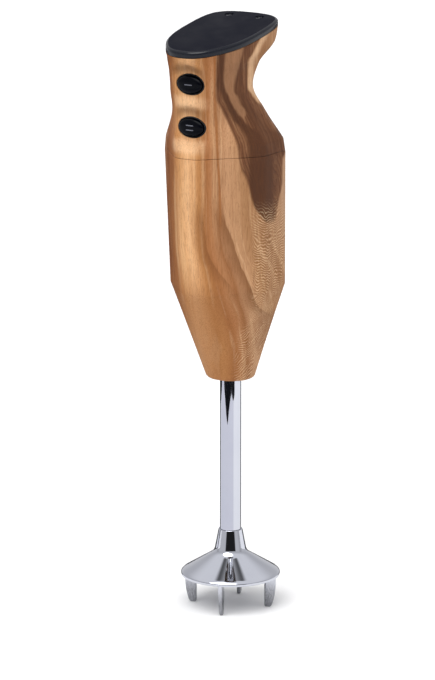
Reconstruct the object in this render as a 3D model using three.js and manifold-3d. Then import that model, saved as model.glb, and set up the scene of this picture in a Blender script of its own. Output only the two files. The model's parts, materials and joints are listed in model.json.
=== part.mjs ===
// Stick blender with a faceted wood-finish body, an oval cap, two thumb buttons and a legged bell guard.
// Units are millimetres, +Z is up, the buttons face -Y, and the part stands on its four leg tips at z = 0.
// Every piece is drawn about the drive axis; the whole model is then moved back along +Y by AXIS_Y,
// so that the origin lies under the middle of the part's box.

import * as THREE from 'three';
import { mergeVertices } from 'three/addons/utils/BufferGeometryUtils.js';
import Module from 'manifold-3d';

const wasm = await Module();
wasm.setup();

// ---------------------------------------------------------------------------------------------
// Driving dimensions
// ---------------------------------------------------------------------------------------------

const GAP = 0.3;                 // between pieces that rest on or sit in one another
const RUNNING = 0.06;            // radial clearance of a shaft in its bush

const BODY_HALF_WIDTH = 33;
const WALL = 3;
const SEAM_Z = 269.6;
const SEAM_GAP = 0.4;
const CAP_PLANE_Z = 335.5;       // where the cap's plane crosses the drive axis
const CAP_TILT = THREE.MathUtils.degToRad(10);
const TILT_START_Z = 276;        // the sections are level up to here
const CAP_THICKNESS = 4;
const CAP_LIP = 2.6;             // how far the cap's plug reaches into the housing
const CAP_PLUG = { bottomInset: 2.6, topInset: 1.2 };     // inside the housing's wall
const CAP_EDGE = [[GAP, 0], [2.9, 0], [3.6, 0.5], [CAP_THICKNESS, 1.5]];  // lift and inset of its edge
const FLOOR_THICKNESS = 4.5;
const BOTTOM_EDGE = [[0, 1.6], [0.5, 0.7], [1.4, 0.1]];  // rise and inset of the rounded bottom edge
const JOINT_RING = { halfHeight: 4, thickness: 1.6 };

// Sections of the body from the bottom up. Each is an octagon about the drive axis with its corners
// rounded: how far it reaches to the front and rear, its half width, the half widths of its front and
// rear flats, where its side flats start and end (towards the front is positive), and how far each
// corner's rounding takes up the edges beside it (0 sharp, 1 a smooth oval).
const SECTIONS = [
  [135.7, 12.9, 13.2, 13.5, 5.4, 5.4, 6, -5.6, 0.9],
  [192, 42.3, 27, 31, 6.8, 8.2, 16.8, -11, 0.41],
  [268.4, 47.8, 28.7, BODY_HALF_WIDTH, 6.5, 9, 19.2, -7.2, 0.38],
  [276, 47.5, 29.6, 32.4, 6.7, 9, 19.2, -6, 0.44],
  [293, 42.6, 12.7, 26.4, 8.2, 7.2, 21.8, 3, 0.66],
  [309, 43.6, 1.8, 23.7, 9.6, 9, 28, 12.3, 0.79],
  [320.5, 46.1, 8.6, 22.8, 11, 10.8, 29.2, 4, 0.86],
  [329.1, 47.6, 19.8, 25.2, 10.4, 14, 28.6, -9.6, 0.84],
  [CAP_PLANE_Z, 51, 22, 24.9, 10.5, 13.8, 29, -13.4, 0.87],
].map(([z, front, rear, side, frontFlat, rearFlat, sideFrom, sideTo, round]) => (
  { z, front, rear, side, frontFlat, rearFlat, sideFrom, sideTo, round }));
const FIRST_SMOOTH_SECTION = 3;  // straight runs below this section, one smooth curve above it

const AXIS_Y = (SECTIONS.at(-1).front - SECTIONS[FIRST_SMOOTH_SECTION].rear) / 2;

// Buttons: the height of each one's middle and how far forward its dish floor lies.
const BUTTONS = [
  { name: 'speed_1', z: 310.9, face: 42.2 },
  { name: 'speed_2', z: 286.6, face: 40.9 },
];
const BUTTON_HALF = { x: 8, z: 4.85 };
const BUTTON_SEAL_WIDTH = 0.7;
const BUTTON_EDGE_PROUD = 0.7;
const BUTTON_DOME = 1.8;
const BUTTON_FLANGE_SPREAD = { x: 1.2, z: 2.2 };
const BUTTON_FLANGE_THICKNESS = 1.3;
const BUTTON_STEM = { radius: 2.2, length: 2.6 };
const PLUNGER = { radius: 1.2, length: 4.5 };
const MICRO_SWITCH = { halfWidth: 6.4, halfHeight: 5, behindFace: 10.2, boreDepth: 4.7 };
const DISH_HALF = { x: 13.4, z: 12.3 };
const DISH_FLOOR = 0.6;          // share of the dish, by squared radius, that is its flat floor
const SWITCH_REAR = 23.7;        // both switches rest on one carrier plate here
const CARRIER = { halfWidth: 9, bottom: 277, top: 320, thickness: 1.7, footTop: 283, footReach: 14,
  footHalf: 1 };

// Lower end
const TUBE_R = 6.1;
const TUBE_BORE_R = 5.1;
const TUBE_BOTTOM = 33.2;
const TUBE_TOP = 154;
const COLLAR_R = 6.85;
const COLLAR_TOP = 45.6;
const NECK_R = 9.4;
const NECK_BOTTOM = 32;
const RIM_R = 28.6;
const RIM_Z = 19.6;
const BELL_WALL = 1.3;
const LEG_COUNT = 4;
const LEG_TIP_R = 22.2;
const LEG_INNER_R = 20.2;
const LEG_OUTER_R = 26.8;
const LEG_THICKNESS = 3;
const LEG_TURN = THREE.MathUtils.degToRad(18.8);
const BLADE_TURN = THREE.MathUtils.degToRad(32);
const BLADE_TIP_R = 19;
const LEG_TOP_INNER_Z = 24.2;
const LEG_TOP_OUTER_Z = 20.2;
const LEG_FLAT = 0.9;            // half the width of the flat on a leg's tip
const BLADE = { hubR: 4.6, hubBottom: 12.2, hubTop: 21.2, wingZ: 15.2, thickness: 1.1, pitch: 14,
  dips: [-6, 4] };
const CLAMP_RING = { outer: 8.6, height: 6 };

// Drive line
const SHAFT_R = 2.4;
const SHAFT_BOTTOM = 13.2;
const SHAFT_TOP = 163.4;
const BUSH = { height: 8, lowerBottom: 39, upperBottom: 143 };
const SEAL = { lipR: 3.6, lipRise: 0.4, shoulder: 1.2, height: 4 };
const PIN_Z = 18;
const PIN_R = 0.9;
const PIN_LENGTH = 8.2;
const COUPLING = { bottom: 157, top: 170.5, outer: 6, chamfer: 0.9 };

// Motor
const MOTOR_SHAFT_R = 2.5;
const MOTOR_SHAFT_TOP = 251;
const BEARING = { outer: 5.5, height: 5, lowerBottom: 173.5, upperBottom: 243.4 };
const CARRIER_PLATE = { halfWidth: 22.2, halfDepth: 7, thickness: 4, bossR: 8, bossRise: 1.5,
  lowerBottom: 174, upperBottom: 243 };
const FAN = { bottom: 181, discTop: 182.2, vaneTop: 187.6, top: 188.2, hubR: 5, discR: 16.5, vanes: 9 };
const CORE_R = 12.4;
const CORE_BOTTOM = 196;
const CORE_TOP = 224;
const SLOT_COUNT = 12;
const SLOT = { halfWidth: 1.1, floorR: 6.6, wireHalf: 0.8, wireFrom: 7, wireTo: 11 };
const WINDING = { inner: 3.2, shoulder: 9.5, outer: 11.4, bottom: 189, top: 229.6 };
const COMMUTATOR = { outer: 7, bottom: 230.4, top: 241, grooveHalf: 0.25, grooveFloorR: 6.4 };
const STATOR_R = 22;
const STATOR_BORE_R = 13;
const COIL = { inner: 14.3, outer: 18.4, innerAngle: 36, outerAngle: 60, overhang: 4 };
const POLES = [{ name: 'front', angle: -90 }, { name: 'rear', angle: 90 }];
const BOLT_R = 1.5;
const BOLT_X = 19.4;
const BOLT = { bottom: 173, headR: 2.9, headBottom: 248, headTop: 250.4 };
const BRUSH = { halfWidth: 2.6, bottom: 233, top: 238.6, tip: 7.3, tail: 18, clearance: 0.2 };
const BRUSH_HOLDER = { halfWidth: 4, inner: 8.6, outer: 21.4, bottom: 231.4, top: 242.7 };

// Electronics
const BOARD = { halfWidth: 16, front: 28.8, rear: 27.2, bottom: 205, top: 262, holeInset: 3, holeR: 1.6 };
const CAPACITOR = { halfWidth: 8, front: 37, bottom: 214, top: 230 };
const CHOKE = { inner: 2.2, outer: 6.2, bottom: 238, top: 251 };

// ---------------------------------------------------------------------------------------------
// Materials
// ---------------------------------------------------------------------------------------------

function material(color, roughness, metalness) {
  return new THREE.MeshStandardMaterial({ color, roughness, metalness });
}

const LOOKS = {
  wood: () => material(0xb98352, 0.5, 0),
  blackMatte: () => material(0x23252b, 0.55, 0),
  blackGloss: () => material(0x0b0c10, 0.12, 0),
  rubber: () => material(0x111114, 0.8, 0),
  chrome: () => material(0xdfe2ea, 0.08, 1),
  steel: () => material(0xb4b7bc, 0.3, 1),
  lamination: () => material(0x6e7176, 0.5, 0.8),
  copper: () => material(0xb5652f, 0.35, 0.9),
  bronze: () => material(0xa9803f, 0.4, 0.9),
  carbon: () => material(0x2c2c2e, 0.7, 0.1),
  nylon: () => material(0xe6e3da, 0.5, 0),
  board: () => material(0x1f5a3a, 0.5, 0),
};

// ---------------------------------------------------------------------------------------------
// Geometry helpers
// ---------------------------------------------------------------------------------------------

// The closed solid that a geometry bounds, with its faces turned outwards.
function solid(geometry) {
  const bare = (geometry.index ? geometry.toNonIndexed() : geometry).clone();
  bare.deleteAttribute('normal');
  bare.deleteAttribute('uv');
  const merged = mergeVertices(bare, 1e-4);
  const places = merged.attributes.position.array;
  const corners = [];
  for (let i = 0; i < merged.index.count; i += 3) {
    const [a, b, c] = [0, 1, 2].map((k) => merged.index.getX(i + k));
    if (a !== b && b !== c && c !== a) corners.push(a, b, c);
  }
  if (signedVolume(places, corners) < 0) {
    for (let i = 0; i < corners.length; i += 3) {
      [corners[i], corners[i + 1]] = [corners[i + 1], corners[i]];
    }
  }
  return new wasm.Manifold(new wasm.Mesh({
    numProp: 3,
    vertProperties: new Float32Array(places),
    triVerts: new Uint32Array(corners),
  }));
}

function signedVolume(places, corners) {
  const [a, b, c] = [new THREE.Vector3(), new THREE.Vector3(), new THREE.Vector3()];
  let volume = 0;
  for (let i = 0; i < corners.length; i += 3) {
    a.fromArray(places, 3 * corners[i]);
    b.fromArray(places, 3 * corners[i + 1]);
    c.fromArray(places, 3 * corners[i + 2]);
    volume += a.dot(b.cross(c)) / 6;
  }
  return volume;
}

function geometryOf(shape) {
  const mesh = shape.getMesh();
  const geometry = new THREE.BufferGeometry();
  const places = new Float32Array((mesh.vertProperties.length / mesh.numProp) * 3);
  for (let i = 0; i < places.length / 3; i += 1) {
    for (let k = 0; k < 3; k += 1) places[3 * i + k] = mesh.vertProperties[mesh.numProp * i + k];
  }
  geometry.setAttribute('position', new THREE.BufferAttribute(places, 3));
  geometry.setIndex(new THREE.BufferAttribute(new Uint32Array(mesh.triVerts), 1));
  geometry.computeVertexNormals();
  return geometry;
}

const join = (shapes) => shapes.reduce((whole, shape) => whole.add(shape));
const cut = (shape, tools) => tools.reduce((rest, tool) => rest.subtract(tool), shape);

// A solid of revolution about the drive axis from [radius, z] points that close on themselves.
function turned(points, segments = 24) {
  const profile = points.map(([r, z]) => new THREE.Vector2(r, z));
  if (points[0][0] > 0 || points.at(-1)[0] > 0) profile.push(profile[0].clone());
  return solid(new THREE.LatheGeometry(profile, segments).rotateX(Math.PI / 2));
}

function rod(radius, bottom, top, segments = 20) {
  return turned([[0, bottom], [radius, bottom], [radius, top], [0, top]], segments);
}

function ringOf(inner, outer, bottom, top, segments = 24) {
  return turned([[inner, bottom], [outer, bottom], [outer, top], [inner, top]], segments);
}

// A box from its lowest to its highest corner.
function block(low, high) {
  const size = high.map((value, k) => value - low[k]);
  const middle = high.map((value, k) => (value + low[k]) / 2);
  return solid(new THREE.BoxGeometry(...size).translate(...middle));
}

// A rod along +Y from y = from to y = to.
function crossRod(radius, x, z, from, to, segments = 12) {
  const geometry = new THREE.CylinderGeometry(radius, radius, to - from, segments);
  return solid(geometry.translate(x, (from + to) / 2, z));
}

function extruded(shape, depth, place = (geometry) => geometry) {
  return solid(place(new THREE.ExtrudeGeometry(shape, { depth, bevelEnabled: false, curveSegments: 6 })));
}

// A solid skinned over a stack of rings, each with the same number of points.
function loft(rings) {
  const count = rings[0].length;
  const places = [];
  const triangle = (...corners) => corners.forEach((corner) => places.push(corner.x, corner.y, corner.z));
  for (let i = 0; i + 1 < rings.length; i += 1) {
    for (let j = 0; j < count; j += 1) {
      const k = (j + 1) % count;
      triangle(rings[i][j], rings[i][k], rings[i + 1][k]);
      triangle(rings[i][j], rings[i + 1][k], rings[i + 1][j]);
    }
  }
  const centre = (ring) => ring.reduce((sum, p) => sum.add(p), new THREE.Vector3()).divideScalar(count);
  const [first, last] = [rings[0], rings.at(-1)];
  const [low, high] = [centre(first), centre(last)];
  for (let j = 0; j < count; j += 1) {
    const k = (j + 1) % count;
    triangle(low, first[k], first[j]);
    triangle(high, last[j], last[k]);
  }
  const geometry = new THREE.BufferGeometry();
  geometry.setAttribute('position', new THREE.Float32BufferAttribute(places, 3));
  return solid(geometry);
}

// ---------------------------------------------------------------------------------------------
// The body's outer form
// ---------------------------------------------------------------------------------------------

// One section value at a height: straight between the lower sections, and above them a cubic that
// passes through each section without overshooting it.
function sectionValue(key, z) {
  const knots = SECTIONS.map((section) => section.z);
  const values = SECTIONS.map((section) => section[key]);
  const last = knots.length - 1;
  let i = 0;
  while (i < last - 1 && z > knots[i + 1]) i += 1;
  const slope = (k) => (values[k + 1] - values[k]) / (knots[k + 1] - knots[k]);
  const t = (z - knots[i]) / (knots[i + 1] - knots[i]);
  if (i < FIRST_SMOOTH_SECTION) return THREE.MathUtils.lerp(values[i], values[i + 1], t);
  const tangent = (k) => {
    if (k === FIRST_SMOOTH_SECTION) return slope(k);
    if (k === last) return slope(k - 1);
    const [before, after] = [slope(k - 1), slope(k)];
    return before * after <= 0 ? 0 : (2 * before * after) / (before + after);
  };
  const span = knots[i + 1] - knots[i];
  return (2 * t ** 3 - 3 * t ** 2 + 1) * values[i] + (t ** 3 - 2 * t ** 2 + t) * span * tangent(i)
    + (3 * t ** 2 - 2 * t ** 3) * values[i + 1] + (t ** 3 - t ** 2) * span * tangent(i + 1);
}

function sectionAt(z) {
  const keys = ['front', 'rear', 'side', 'frontFlat', 'rearFlat', 'sideFrom', 'sideTo', 'round'];
  return Object.fromEntries(keys.map((key) => [key, sectionValue(key, z)]));
}

// The rounded octagon at a height, drawn in by inset and tipped by the cap's share of tilt there.
function bodyRing(z, inset = 0, lift = 0, perCorner = 4) {
  const s = sectionAt(z);
  const corners = [
    [s.frontFlat, s.front], [s.side, s.sideFrom], [s.side, s.sideTo], [s.rearFlat, -s.rear],
    [-s.rearFlat, -s.rear], [-s.side, s.sideTo], [-s.side, s.sideFrom], [-s.frontFlat, s.front],
  ];
  const middle = (s.front - s.rear) / 2;
  const depth = (s.front + s.rear) / 2;
  const acrossScale = (s.side - inset) / s.side;
  const alongScale = (depth - inset) / depth;
  const tilt = CAP_TILT * THREE.MathUtils.clamp((z - TILT_START_Z) / (CAP_PLANE_Z - TILT_START_Z), 0, 1);
  const ring = [];
  corners.forEach(([across, forward], i) => {
    const before = corners.at(i - 1);
    const after = corners[(i + 1) % corners.length];
    const start = [0, 1].map((k) => THREE.MathUtils.lerp([across, forward][k], before[k], s.round / 2));
    const end = [0, 1].map((k) => THREE.MathUtils.lerp([across, forward][k], after[k], s.round / 2));
    for (let step = 0; step <= perCorner; step += 1) {
      const u = step / perCorner;
      const weights = [(1 - u) ** 2, 2 * u * (1 - u), u ** 2];
      const x = weights[0] * start[0] + weights[1] * across + weights[2] * end[0];
      const f = weights[0] * start[1] + weights[1] * forward + weights[2] * end[1];
      const reach = middle + (f - middle) * alongScale;
      ring.push(new THREE.Vector3(x * acrossScale, -reach, z + lift - Math.tan(tilt) * reach));
    }
  });
  return ring;
}

// Finger dishes: the front is drawn back to a flat floor round each button.
function withDishes(ring, depth = 0) {
  return ring.map((point) => {
    let forward = -point.y;
    BUTTONS.forEach((button) => {
      const spread = (point.x / DISH_HALF.x) ** 2 + ((point.z - button.z) / DISH_HALF.z) ** 2;
      const share = 1 - THREE.MathUtils.smoothstep(spread, DISH_FLOOR, 1);
      forward -= share * Math.max(0, forward - (button.face - depth));
    });
    return new THREE.Vector3(point.x, -forward, point.z);
  });
}

function heights(from, to, step) {
  const count = Math.max(1, Math.round((to - from) / step));
  return Array.from({ length: count + 1 }, (_, i) => THREE.MathUtils.lerp(from, to, i / count));
}

// ---------------------------------------------------------------------------------------------
// Casings
// ---------------------------------------------------------------------------------------------

function lowerHousing() {
  const bottom = SECTIONS[0].z;
  const edge = BOTTOM_EDGE.map(([rise, inset]) => bodyRing(bottom + rise, inset));
  const levels = [SECTIONS[1].z - 5, SECTIONS[1].z, SECTIONS[2].z, SEAM_Z - SEAM_GAP / 2];
  const walls = levels.map((z) => bodyRing(z));
  const rings = [...edge, ...walls];
  const hollow = [bottom + FLOOR_THICKNESS, SECTIONS[1].z, SECTIONS[2].z, SEAM_Z + 1]
    .map((z) => bodyRing(z, WALL, 0, 3));
  const tubeHole = rod(TUBE_R + GAP, bottom - 1, bottom + FLOOR_THICKNESS + 1, 48);
  return cut(loft(rings), [loft(hollow), tubeHole]);
}

const CAP_SCREWS = [-10, 10].map((x) => ({ x, y: 14.2 }));
const SCREW = { recessR: 2.5, recessDepth: 2.2, headR: 2.2, headHeight: 1.3, shankR: 1.2, shankLength: 8.4,
  holeR: 1.5, slotHalf: 0.35, slotDepth: 0.6 };
const BOSS = { radius: 3, length: 9, holeDepth: 5 };
const capPlaneAt = (y) => CAP_PLANE_Z + Math.tan(CAP_TILT) * y;

// An upright oval that faces the front, with its half width and half height.
function ovalRing(half, z, forward, segments = 32) {
  return Array.from({ length: segments }, (_, i) => {
    const angle = (2 * Math.PI * i) / segments;
    return new THREE.Vector3(half.x * Math.cos(angle), -forward, z + half.z * Math.sin(angle));
  });
}

const ovalPrism = (half, z, from, to) => loft([ovalRing(half, z, from), ovalRing(half, z, to)]);

const grown = (half, by) => ({ x: half.x + by, z: half.z + by });

function upperHousing() {
  const outer = loft(heights(SEAM_Z + SEAM_GAP / 2, CAP_PLANE_Z, 3).map((z) => withDishes(bodyRing(z))));
  const inside = (z) => bodyRing(Math.min(z, CAP_PLANE_Z), WALL, Math.max(0, z - CAP_PLANE_Z), 3);
  const inner = loft(heights(SEAM_Z - 1, CAP_PLANE_Z + 4, 6).map((z) => withDishes(inside(z), WALL)));
  const core = loft(heights(SEAM_Z + 2, CAP_PLANE_Z, 8).map((z) => bodyRing(z, 1, -1, 3)));
  const bosses = CAP_SCREWS.map(({ x, y }) => {
    const top = capPlaneAt(y) - CAP_LIP - 1;
    return rod(BOSS.radius, top - BOSS.length, top, 16).translate([x, y, 0]).intersect(core);
  });
  const bossHoles = CAP_SCREWS.map(({ x, y }) => {
    const top = capPlaneAt(y) - CAP_LIP;
    return rod(SCREW.holeR, top - BOSS.holeDepth, top, 16).translate([x, y, 0]);
  });
  const openings = BUTTONS.map(({ z, face }) => ovalPrism(
    grown(BUTTON_HALF, GAP + BUTTON_SEAL_WIDTH + GAP), z, face - 8, face + 8));
  return cut(join([outer.subtract(inner), ...bosses]), [...bossHoles, ...openings, glandSeat()]);
}

function jointRing() {
  const low = SEAM_Z - JOINT_RING.halfHeight;
  const high = SEAM_Z + JOINT_RING.halfHeight;
  const outer = WALL + GAP;
  const inner = outer + JOINT_RING.thickness;
  const outside = loft([bodyRing(low, outer, 0, 3), bodyRing(high, outer, 0, 3)]);
  return outside.subtract(loft([bodyRing(low - 1, inner, 0, 3), bodyRing(high + 1, inner, 0, 3)]));
}

function topCap() {
  const ring = (lift, inset) => bodyRing(CAP_PLANE_Z, inset, lift);
  const plug = [ring(-CAP_LIP, WALL + CAP_PLUG.bottomInset), ring(GAP, WALL + CAP_PLUG.topInset)];
  const edge = CAP_EDGE.map(([lift, inset]) => ring(lift, inset));
  const rings = [...plug, ...edge];
  const recesses = CAP_SCREWS.map(({ x, y }) => {
    const top = capPlaneAt(y) + CAP_THICKNESS;
    const recess = rod(SCREW.recessR, top - SCREW.recessDepth, top + 2, 20);
    return recess.add(rod(SCREW.holeR, top - CAP_LIP - 2 * CAP_THICKNESS, top, 16)).translate([x, y, 0]);
  });
  return cut(loft(rings), recesses);
}

function capScrew({ x, y }) {
  const seat = capPlaneAt(y) + CAP_THICKNESS - SCREW.recessDepth + GAP;
  const top = seat + SCREW.headHeight;
  const shank = rod(SCREW.shankR, seat - SCREW.shankLength, seat + 0.5, 16);
  const screw = shank.add(rod(SCREW.headR, seat, top, 20));
  const slotReach = SCREW.headR + 1;
  const slotFloor = top - SCREW.slotDepth;
  const slot = block([-slotReach, -SCREW.slotHalf, slotFloor], [slotReach, SCREW.slotHalf, top + 1]);
  return screw.subtract(slot).translate([x, y, 0]);
}

// The cord gland sits square to the sloping wall under the cap's overhang, facing back and down.
const GLAND = { y: 10.8, z: 323.1, slope: 45, bore: 3.4, body: 4.3, flange: 5.9, recess: 1.2,
  length: 5, rimRise: 1.4, domeRise: 2.6 };

// Moves a piece drawn about the drive axis, with its outer end up, to the gland's place.
const atGland = (shape) => shape.rotate([-90 - GLAND.slope, 0, 0]).translate([0, GLAND.y, GLAND.z]);

function glandSeat() {
  const reach = 8;
  return atGland(rod(GLAND.body + GAP, -reach, reach).add(rod(GLAND.flange + GAP, -GLAND.recess, reach)));
}

function cordGland() {
  const { bore, body, flange, recess, length, rimRise, domeRise } = GLAND;
  const step = GAP - recess;
  const sleeve = [[bore, -length], [body, -length], [body, step], [flange, step]];
  const dome = [[flange, rimRise], [flange - 0.8, domeRise - 0.3], [bore + 0.4, domeRise],
    [bore, domeRise - 0.4]];
  return atGland(turned([...sleeve, ...dome]));
}

// ---------------------------------------------------------------------------------------------
// Buttons and switches
// ---------------------------------------------------------------------------------------------

const buttonFlangeFront = (face) => face - WALL - 0.9;
const buttonStemEnd = (face) => buttonFlangeFront(face) - BUTTON_FLANGE_THICKNESS - BUTTON_STEM.length;

function button({ z, face }) {
  const edge = face + BUTTON_EDGE_PROUD;
  const flangeFront = buttonFlangeFront(face);
  const flangeRear = flangeFront - BUTTON_FLANGE_THICKNESS;
  const dome = [0, 0.5, 0.8, 0.95].map((share) => {
    const scale = Math.sqrt(1 - share ** 2);
    const half = { x: BUTTON_HALF.x * scale, z: BUTTON_HALF.z * scale };
    return ovalRing(half, z, edge + BUTTON_DOME * share);
  });
  const cap = loft([ovalRing(BUTTON_HALF, z, flangeFront - GAP), ...dome]);
  const spread = BUTTON_FLANGE_SPREAD;
  const flangeHalf = { x: BUTTON_HALF.x + spread.x, z: BUTTON_HALF.z + spread.z };
  const flange = ovalPrism(flangeHalf, z, flangeRear, flangeFront);
  const stem = crossRod(BUTTON_STEM.radius, 0, z, -(flangeRear + GAP), -(flangeRear - BUTTON_STEM.length));
  return join([cap, flange, stem]);
}

function buttonSeal({ z, face }) {
  const outside = grown(BUTTON_HALF, GAP + BUTTON_SEAL_WIDTH);
  return ovalPrism(outside, z, face - WALL + 0.2, face + 0.1)
    .subtract(ovalPrism(grown(BUTTON_HALF, GAP), z, face - WALL - 1, face + 1));
}

function switchPlunger({ z, face }) {
  const tip = buttonStemEnd(face) - GAP;
  return crossRod(PLUNGER.radius, 0, z, -tip, -(tip - PLUNGER.length));
}

function microSwitch({ z, face }) {
  const { halfWidth, halfHeight, behindFace, boreDepth } = MICRO_SWITCH;
  const front = face - behindFace;
  const shell = block([-halfWidth, -front, z - halfHeight], [halfWidth, -SWITCH_REAR, z + halfHeight]);
  return shell.subtract(crossRod(PLUNGER.radius + RUNNING, 0, z, -front - 1, -(front - boreDepth)));
}

function switchCarrier() {
  const { halfWidth, bottom, top, thickness, footTop, footReach, footHalf } = CARRIER;
  const front = SWITCH_REAR - GAP;
  const rear = front - thickness - GAP;
  const plate = block([-halfWidth, -front, bottom], [halfWidth, -rear, top]);
  const feet = [-1, 1].map((side) => {
    const middle = side * (halfWidth - footHalf);
    return block([middle - footHalf, -(rear + GAP / 2), bottom], [middle + footHalf, -footReach, footTop]);
  });
  return join([plate, ...feet]);
}

// ---------------------------------------------------------------------------------------------
// Guard, tube and blade
// ---------------------------------------------------------------------------------------------

function legShape() {
  const shape = new THREE.Shape();
  shape.moveTo(LEG_INNER_R, LEG_TOP_INNER_Z);
  shape.lineTo(LEG_INNER_R, 2 * LEG_FLAT);
  shape.quadraticCurveTo(LEG_INNER_R, 0, LEG_TIP_R - LEG_FLAT, 0);
  shape.lineTo(LEG_TIP_R + LEG_FLAT, 0);
  shape.quadraticCurveTo(LEG_TIP_R + 2.2, 0.2, LEG_TIP_R + 2.8, 2.4);
  shape.quadraticCurveTo(LEG_OUTER_R, 8, LEG_OUTER_R, 15);
  shape.lineTo(LEG_OUTER_R, LEG_TOP_OUTER_Z);
  shape.closePath();
  return shape;
}

function bladeGuard() {
  const bore = TUBE_R + 0.2;
  const collar = [[bore, COLLAR_TOP], [COLLAR_R - 0.25, COLLAR_TOP], [COLLAR_R, COLLAR_TOP - 0.4]];
  const neck = [[NECK_R - 0.3, NECK_BOTTOM + 1.2], [NECK_R + 0.1, NECK_BOTTOM - 0.2],
    [NECK_R + 1.5, NECK_BOTTOM - 1.3]];
  const rim = [[RIM_R - 1.2, RIM_Z + 1.6], [RIM_R - 0.2, RIM_Z + 0.8], [RIM_R, RIM_Z],
    [RIM_R - 0.3, RIM_Z - 0.9], [RIM_R - 1, RIM_Z - 1.3], [RIM_R - 1.8, RIM_Z - 0.9]];
  const inside = [[NECK_R + 0.8, NECK_BOTTOM - 1.3 - BELL_WALL], [NECK_R - 1.2, NECK_BOTTOM - 1.6],
    [bore, NECK_BOTTOM - 0.6]];
  const bell = turned([...collar, ...neck, ...rim, ...inside], 40);
  const legs = Array.from({ length: LEG_COUNT }, (_, i) => {
    const turn = LEG_TURN + (2 * Math.PI * i) / LEG_COUNT - Math.PI / 2;
    return extruded(legShape(), LEG_THICKNESS, (geometry) => geometry
      .translate(0, 0, -LEG_THICKNESS / 2).rotateX(Math.PI / 2).rotateZ(turn));
  });
  return join([bell, ...legs]);
}

function shaftTube() {
  return ringOf(TUBE_BORE_R, TUBE_R, TUBE_BOTTOM, TUBE_TOP, 40);
}

function tubeClampRing() {
  const floor = SECTIONS[0].z + FLOOR_THICKNESS + GAP;
  return ringOf(TUBE_R + 0.1, CLAMP_RING.outer, floor, floor + CLAMP_RING.height, 40);
}

function blade() {
  const { hubR, hubBottom, hubTop, wingZ, thickness, pitch, dips } = BLADE;
  const slotHalf = PIN_R + 0.15;
  const slotReach = PIN_LENGTH / 2 + GAP;
  const slot = block([-slotReach, -slotHalf, PIN_Z - slotHalf], [slotReach, slotHalf, hubTop + 1]);
  const hub = ringOf(SHAFT_R + 0.1, hubR, hubBottom, hubTop).subtract(slot);
  const wing = new THREE.Shape();
  wing.moveTo(3.6, -4);
  wing.quadraticCurveTo(12, -4.6, BLADE_TIP_R - 0.6, -1.8);
  wing.lineTo(BLADE_TIP_R - 0.4, 1.8);
  wing.quadraticCurveTo(12, 3.2, 3.6, 3.2);
  wing.closePath();
  const wings = dips.map((dip, i) => extruded(wing, thickness, (geometry) => geometry
    .translate(0, 0, -thickness / 2).rotateX(THREE.MathUtils.degToRad(pitch))
    .rotateY(THREE.MathUtils.degToRad(dip)).translate(0, 0, wingZ).rotateZ(Math.PI * i)));
  return join([hub, ...wings]).rotate([0, 0, THREE.MathUtils.radToDeg(BLADE_TURN)]);
}

// ---------------------------------------------------------------------------------------------
// Drive line and motor
// ---------------------------------------------------------------------------------------------

function driveShaft() {
  const pinHole = crossRod(PIN_R + 0.05, 0, PIN_Z, -4, 4).rotate([0, 0, 90]);
  return rod(SHAFT_R, SHAFT_BOTTOM, SHAFT_TOP, 24).subtract(pinHole)
    .rotate([0, 0, THREE.MathUtils.radToDeg(BLADE_TURN)]);
}

function crossPin() {
  return crossRod(PIN_R, 0, PIN_Z, -PIN_LENGTH / 2, PIN_LENGTH / 2)
    .rotate([0, 0, 90 + THREE.MathUtils.radToDeg(BLADE_TURN)]);
}

const shaftBush = (bottom) => ringOf(SHAFT_R + RUNNING, TUBE_BORE_R - 0.1, bottom, bottom + BUSH.height);

function shaftSeal() {
  const inner = SHAFT_R + RUNNING;
  const outer = TUBE_BORE_R - 0.1;
  const [lip, shoulder, top] = [SEAL.lipRise, SEAL.shoulder, SEAL.height].map((rise) => TUBE_BOTTOM + rise);
  return turned([[inner, lip], [SEAL.lipR, lip], [outer, shoulder], [outer, top], [inner, top]]);
}

function shaftCoupling() {
  const { bottom, top, outer, chamfer } = COUPLING;
  const bore = MOTOR_SHAFT_R + 0.1;
  return turned([[bore, bottom], [outer - chamfer, bottom], [outer, bottom + chamfer],
    [outer, top - chamfer], [outer - chamfer, top], [bore, top]]);
}

const motorShaft = () => rod(MOTOR_SHAFT_R, SHAFT_TOP + GAP, MOTOR_SHAFT_TOP, 24);
const motorBearing = (bottom) => (
  ringOf(MOTOR_SHAFT_R + RUNNING, BEARING.outer, bottom, bottom + BEARING.height));

const boltHoles = (bottom, top) => [-BOLT_X, BOLT_X].map((x) => (
  rod(BOLT_R + 0.2, bottom, top, 16).translate([x, 0, 0])));

function bearingCarrier(bottom) {
  const { halfWidth, halfDepth, thickness, bossR, bossRise } = CARRIER_PLATE;
  const straight = halfWidth - halfDepth;
  const shape = new THREE.Shape();
  shape.moveTo(-straight, -halfDepth);
  shape.lineTo(straight, -halfDepth);
  shape.absarc(straight, 0, halfDepth, -Math.PI / 2, Math.PI / 2, false);
  shape.lineTo(-straight, halfDepth);
  shape.absarc(-straight, 0, halfDepth, Math.PI / 2, 1.5 * Math.PI, false);
  const plate = extruded(shape, thickness, (geometry) => geometry.translate(0, 0, bottom));
  const boss = rod(bossR, bottom, bottom + thickness + bossRise);
  const seat = rod(BEARING.outer + 0.1, bottom - 1, bottom + thickness + bossRise + 1);
  return cut(join([plate, boss]), [seat, ...boltHoles(bottom - 1, bottom + thickness + 1)]);
}

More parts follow.
